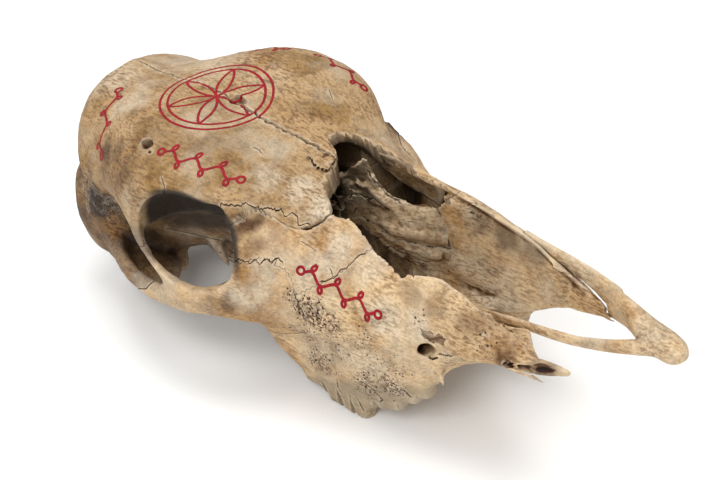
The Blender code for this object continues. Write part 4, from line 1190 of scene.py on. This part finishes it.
# The open cells under the outer layer: brown, and dark in their own shade
spongy_bone = dry_bone("spongy_bone", "#8a6c47", "#6f5333", "#4a3218", "#3a2712")
field = pits(body, spongy_bone)
tree = skin_tree(body)
grooves = [groove(tree, line, width, depth, jag, step, seed)
           for seed, (line, width, depth, jag, step) in enumerate(CRACKS, 51)]
flakes = [shell(tree, outline, 2.5, depth, 95) for outline, depth in FLAKED]
layers = [laid_layer(tree, outline, height, 97 + k) for k, (outline, height) in enumerate(LAYERS)]
combined(body, layers, "UNION")
whole = skin_tree(body)
combined(body, holes() + flakes + [prism("mouth", ragged(NOSE_MOUTH, 1.3, 2.0, 61), 88, 230, "z"),
                                     prism("mouth", ragged(NOSE_EDGE, 1.3, 2.2, 62), 66, 230, "z")],
         "DIFFERENCE")
combined(body, grooves, "DIFFERENCE")
combined(body, [field], "DIFFERENCE")

painted_skin = linked("painted_skin", body.data.copy())
tree = skin_tree(painted_skin)
emblem = laid_on(tree, rosette(34), (108, -10, 158), (1, -0.05, -0.25), (0.3, -0.1, 1))
chains = laid_on(tree, vine(52, 3, 2.6), (118, -62, 146), (1, 0.25, -0.35), (0.35, -0.75, 1))
chains += laid_on(tree, vine(46, 3, 2.4), (214, -58, 84), (1, 0.12, -0.45), (0.1, -1, 0.55))
chains += laid_on(tree, vine(40, 2, 2.4), (40, -34, 166), (0.35, -1, -0.2), (0, -0.45, 1))
chains += laid_on(tree, vine(44, 3, 2.2), (60, 44, 162), (1, 0.12, -0.05), (0, 0.4, 1))
chains += laid_on(tree, vine(34, 2, 2.2), (124, 56, 150), (1, 0.1, -0.35), (0.3, 0.5, 1))
paint = red_paint()
strokes = stroke_tree()
ornament = [brushed("painted_rosette", emblem, painted_skin, strokes, paint, 1.7),
            brushed("painted_vines", chains, painted_skin, strokes, paint, 1.8)]

named = bones(body)

for name in LONE_BONES:
    piece = grown_copy(name, 0.0)
    piece.name = name
    run_together(piece, VOXEL * 0.9, 4, 0.15)
    named[name] = weathered(piece, 0.5)

# The outer bone of each place. What the eye gets: the crown is honey tan and dull from rain and sun, the case
# dark brown from lying in damp earth, the cheek a warm tan, the face the palest, chalky and cream, and the
# palate a greyish brown that saw no sun.
# The fourth colour of each is the painted shade of its hollows.
crown_bone = dry_bone("sun_bleached_bone", "#b39369", "#93703f", "#573b1b", "#3f2912")
case_bone = dry_bone("damp_stained_bone", "#826645", "#634625", "#38240f", "#3c2812")
cheek_bone = dry_bone("cheek_bone", "#c8a577", "#a47b49", "#583a1a", "#3c2812")
face_bone = dry_bone("chalky_face_bone", "#d6b88e", "#b68f5e", "#6b4826", "#46301a")
palate_bone = dry_bone("shaded_palate_bone", "#9a7f5c", "#785b3a", "#483218", "#3c2812")
finish_of = {"frontal": (crown_bone, "frontal_bone"), "occipital": (case_bone, "case_bone"),
             "braincase": (case_bone, "case_bone"), "temporal": (case_bone, "case_bone"),
             "lacrimal": (cheek_bone, "cheek_bone"), "zygomatic": (cheek_bone, "cheek_bone"),
             "maxilla": (face_bone, "face_bone"), "premaxilla": (face_bone, "face_bone"),
             "palatine": (palate_bone, "palate_bone"), "vomer": (palate_bone, "palate_bone")}

# The thin plates: pale and clean where they were sheltered, and amber where light comes through
inner_bone = dry_bone("thin_inner_bone", "#c9b18f", "#a58a66", "#5d4529", "#4a3319")
amber_bone = dry_bone("amber_inner_bone", "#9a6416", "#7a4a0c", "#4c2c08", "#3a2408")
# The inner wall of the eye takes the darker palate bone as painted shade.
plate_finish = {"amber_lamella": amber_bone, "inner_eye_wall": palate_bone}

for name, (piece, uncut) in nose_plates().items():
    dressed(piece, shut, uncut)
    piece.name = name
    finished(piece, plate_finish.get(name, inner_bone))
    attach(piece, "root")

for name, piece in named.items():
    material, slot = finish_of[name.split("_")[0]]
    dressed(piece, shut, skin_tree(piece) if name in LONE_BONES else whole)
    finished(piece, material)
    piece.name = name + "_dressed"
    points = points_of(piece.data)
    points[:, 2] = np.maximum(points[:, 2], 0)  # nothing reaches below the floor
    put_points(piece.data, points)
    piece.data.set_sharp_from_angle(angle=SHARP)
    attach(piece, "root")
    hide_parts(name)

bpy.data.objects.remove(painted_skin)
for piece in ornament:
    piece.data.transform(RESTING)
    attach(piece, "root")

# The studio: white paper, soft light from above and in front, and the camera

floor = linked("floor", mesh_of("floor", [(-3, -3, 0), (3, -3, 0), (3, 3, 0), (-3, 3, 0)], [(0, 1, 2, 3)]))
floor.data.materials.append(studio_floor())

for name, place, size, power in (("overhead", (0.0, 0.1, 1.4), 0.9, 9.5),
                                 ("front", (0.5, -1.05, 1.2), 0.8, 11),
                                 ("side", (-1.2, -0.3, 0.9), 0.7, 3)):
    lamp = bpy.data.objects.new(name, bpy.data.lights.new(name, "AREA"))
    lamp.data.shape = "DISK"
    lamp.data.size = size
    lamp.data.energy = power
    lamp.location = place
    lamp.rotation_euler = (Vector((0, 0, 0.06)) - Vector(place)).to_track_quat("-Z", "Y").to_euler()
    bpy.context.scene.collection.objects.link(lamp)

world = bpy.data.worlds.new("studio")
bpy.context.scene.world = world
world.use_nodes = True
world.node_tree.nodes["Background"].inputs["Color"].default_value = (1, 1, 1, 1)
world.node_tree.nodes["Background"].inputs["Strength"].default_value = 0.68

bpy.context.scene.view_settings.view_transform = "Standard"

camera = bpy.data.objects.new("camera", bpy.data.cameras.new("camera"))
camera.location = (0.59171, -0.54757, 0.62628)
camera.rotation_euler = [math.radians(a) for a in (55.754, 4.271, 44.566)]
camera.data.sensor_width = 36
camera.data.lens = 84.68
bpy.context.scene.collection.objects.link(camera)
bpy.context.scene.camera = camera
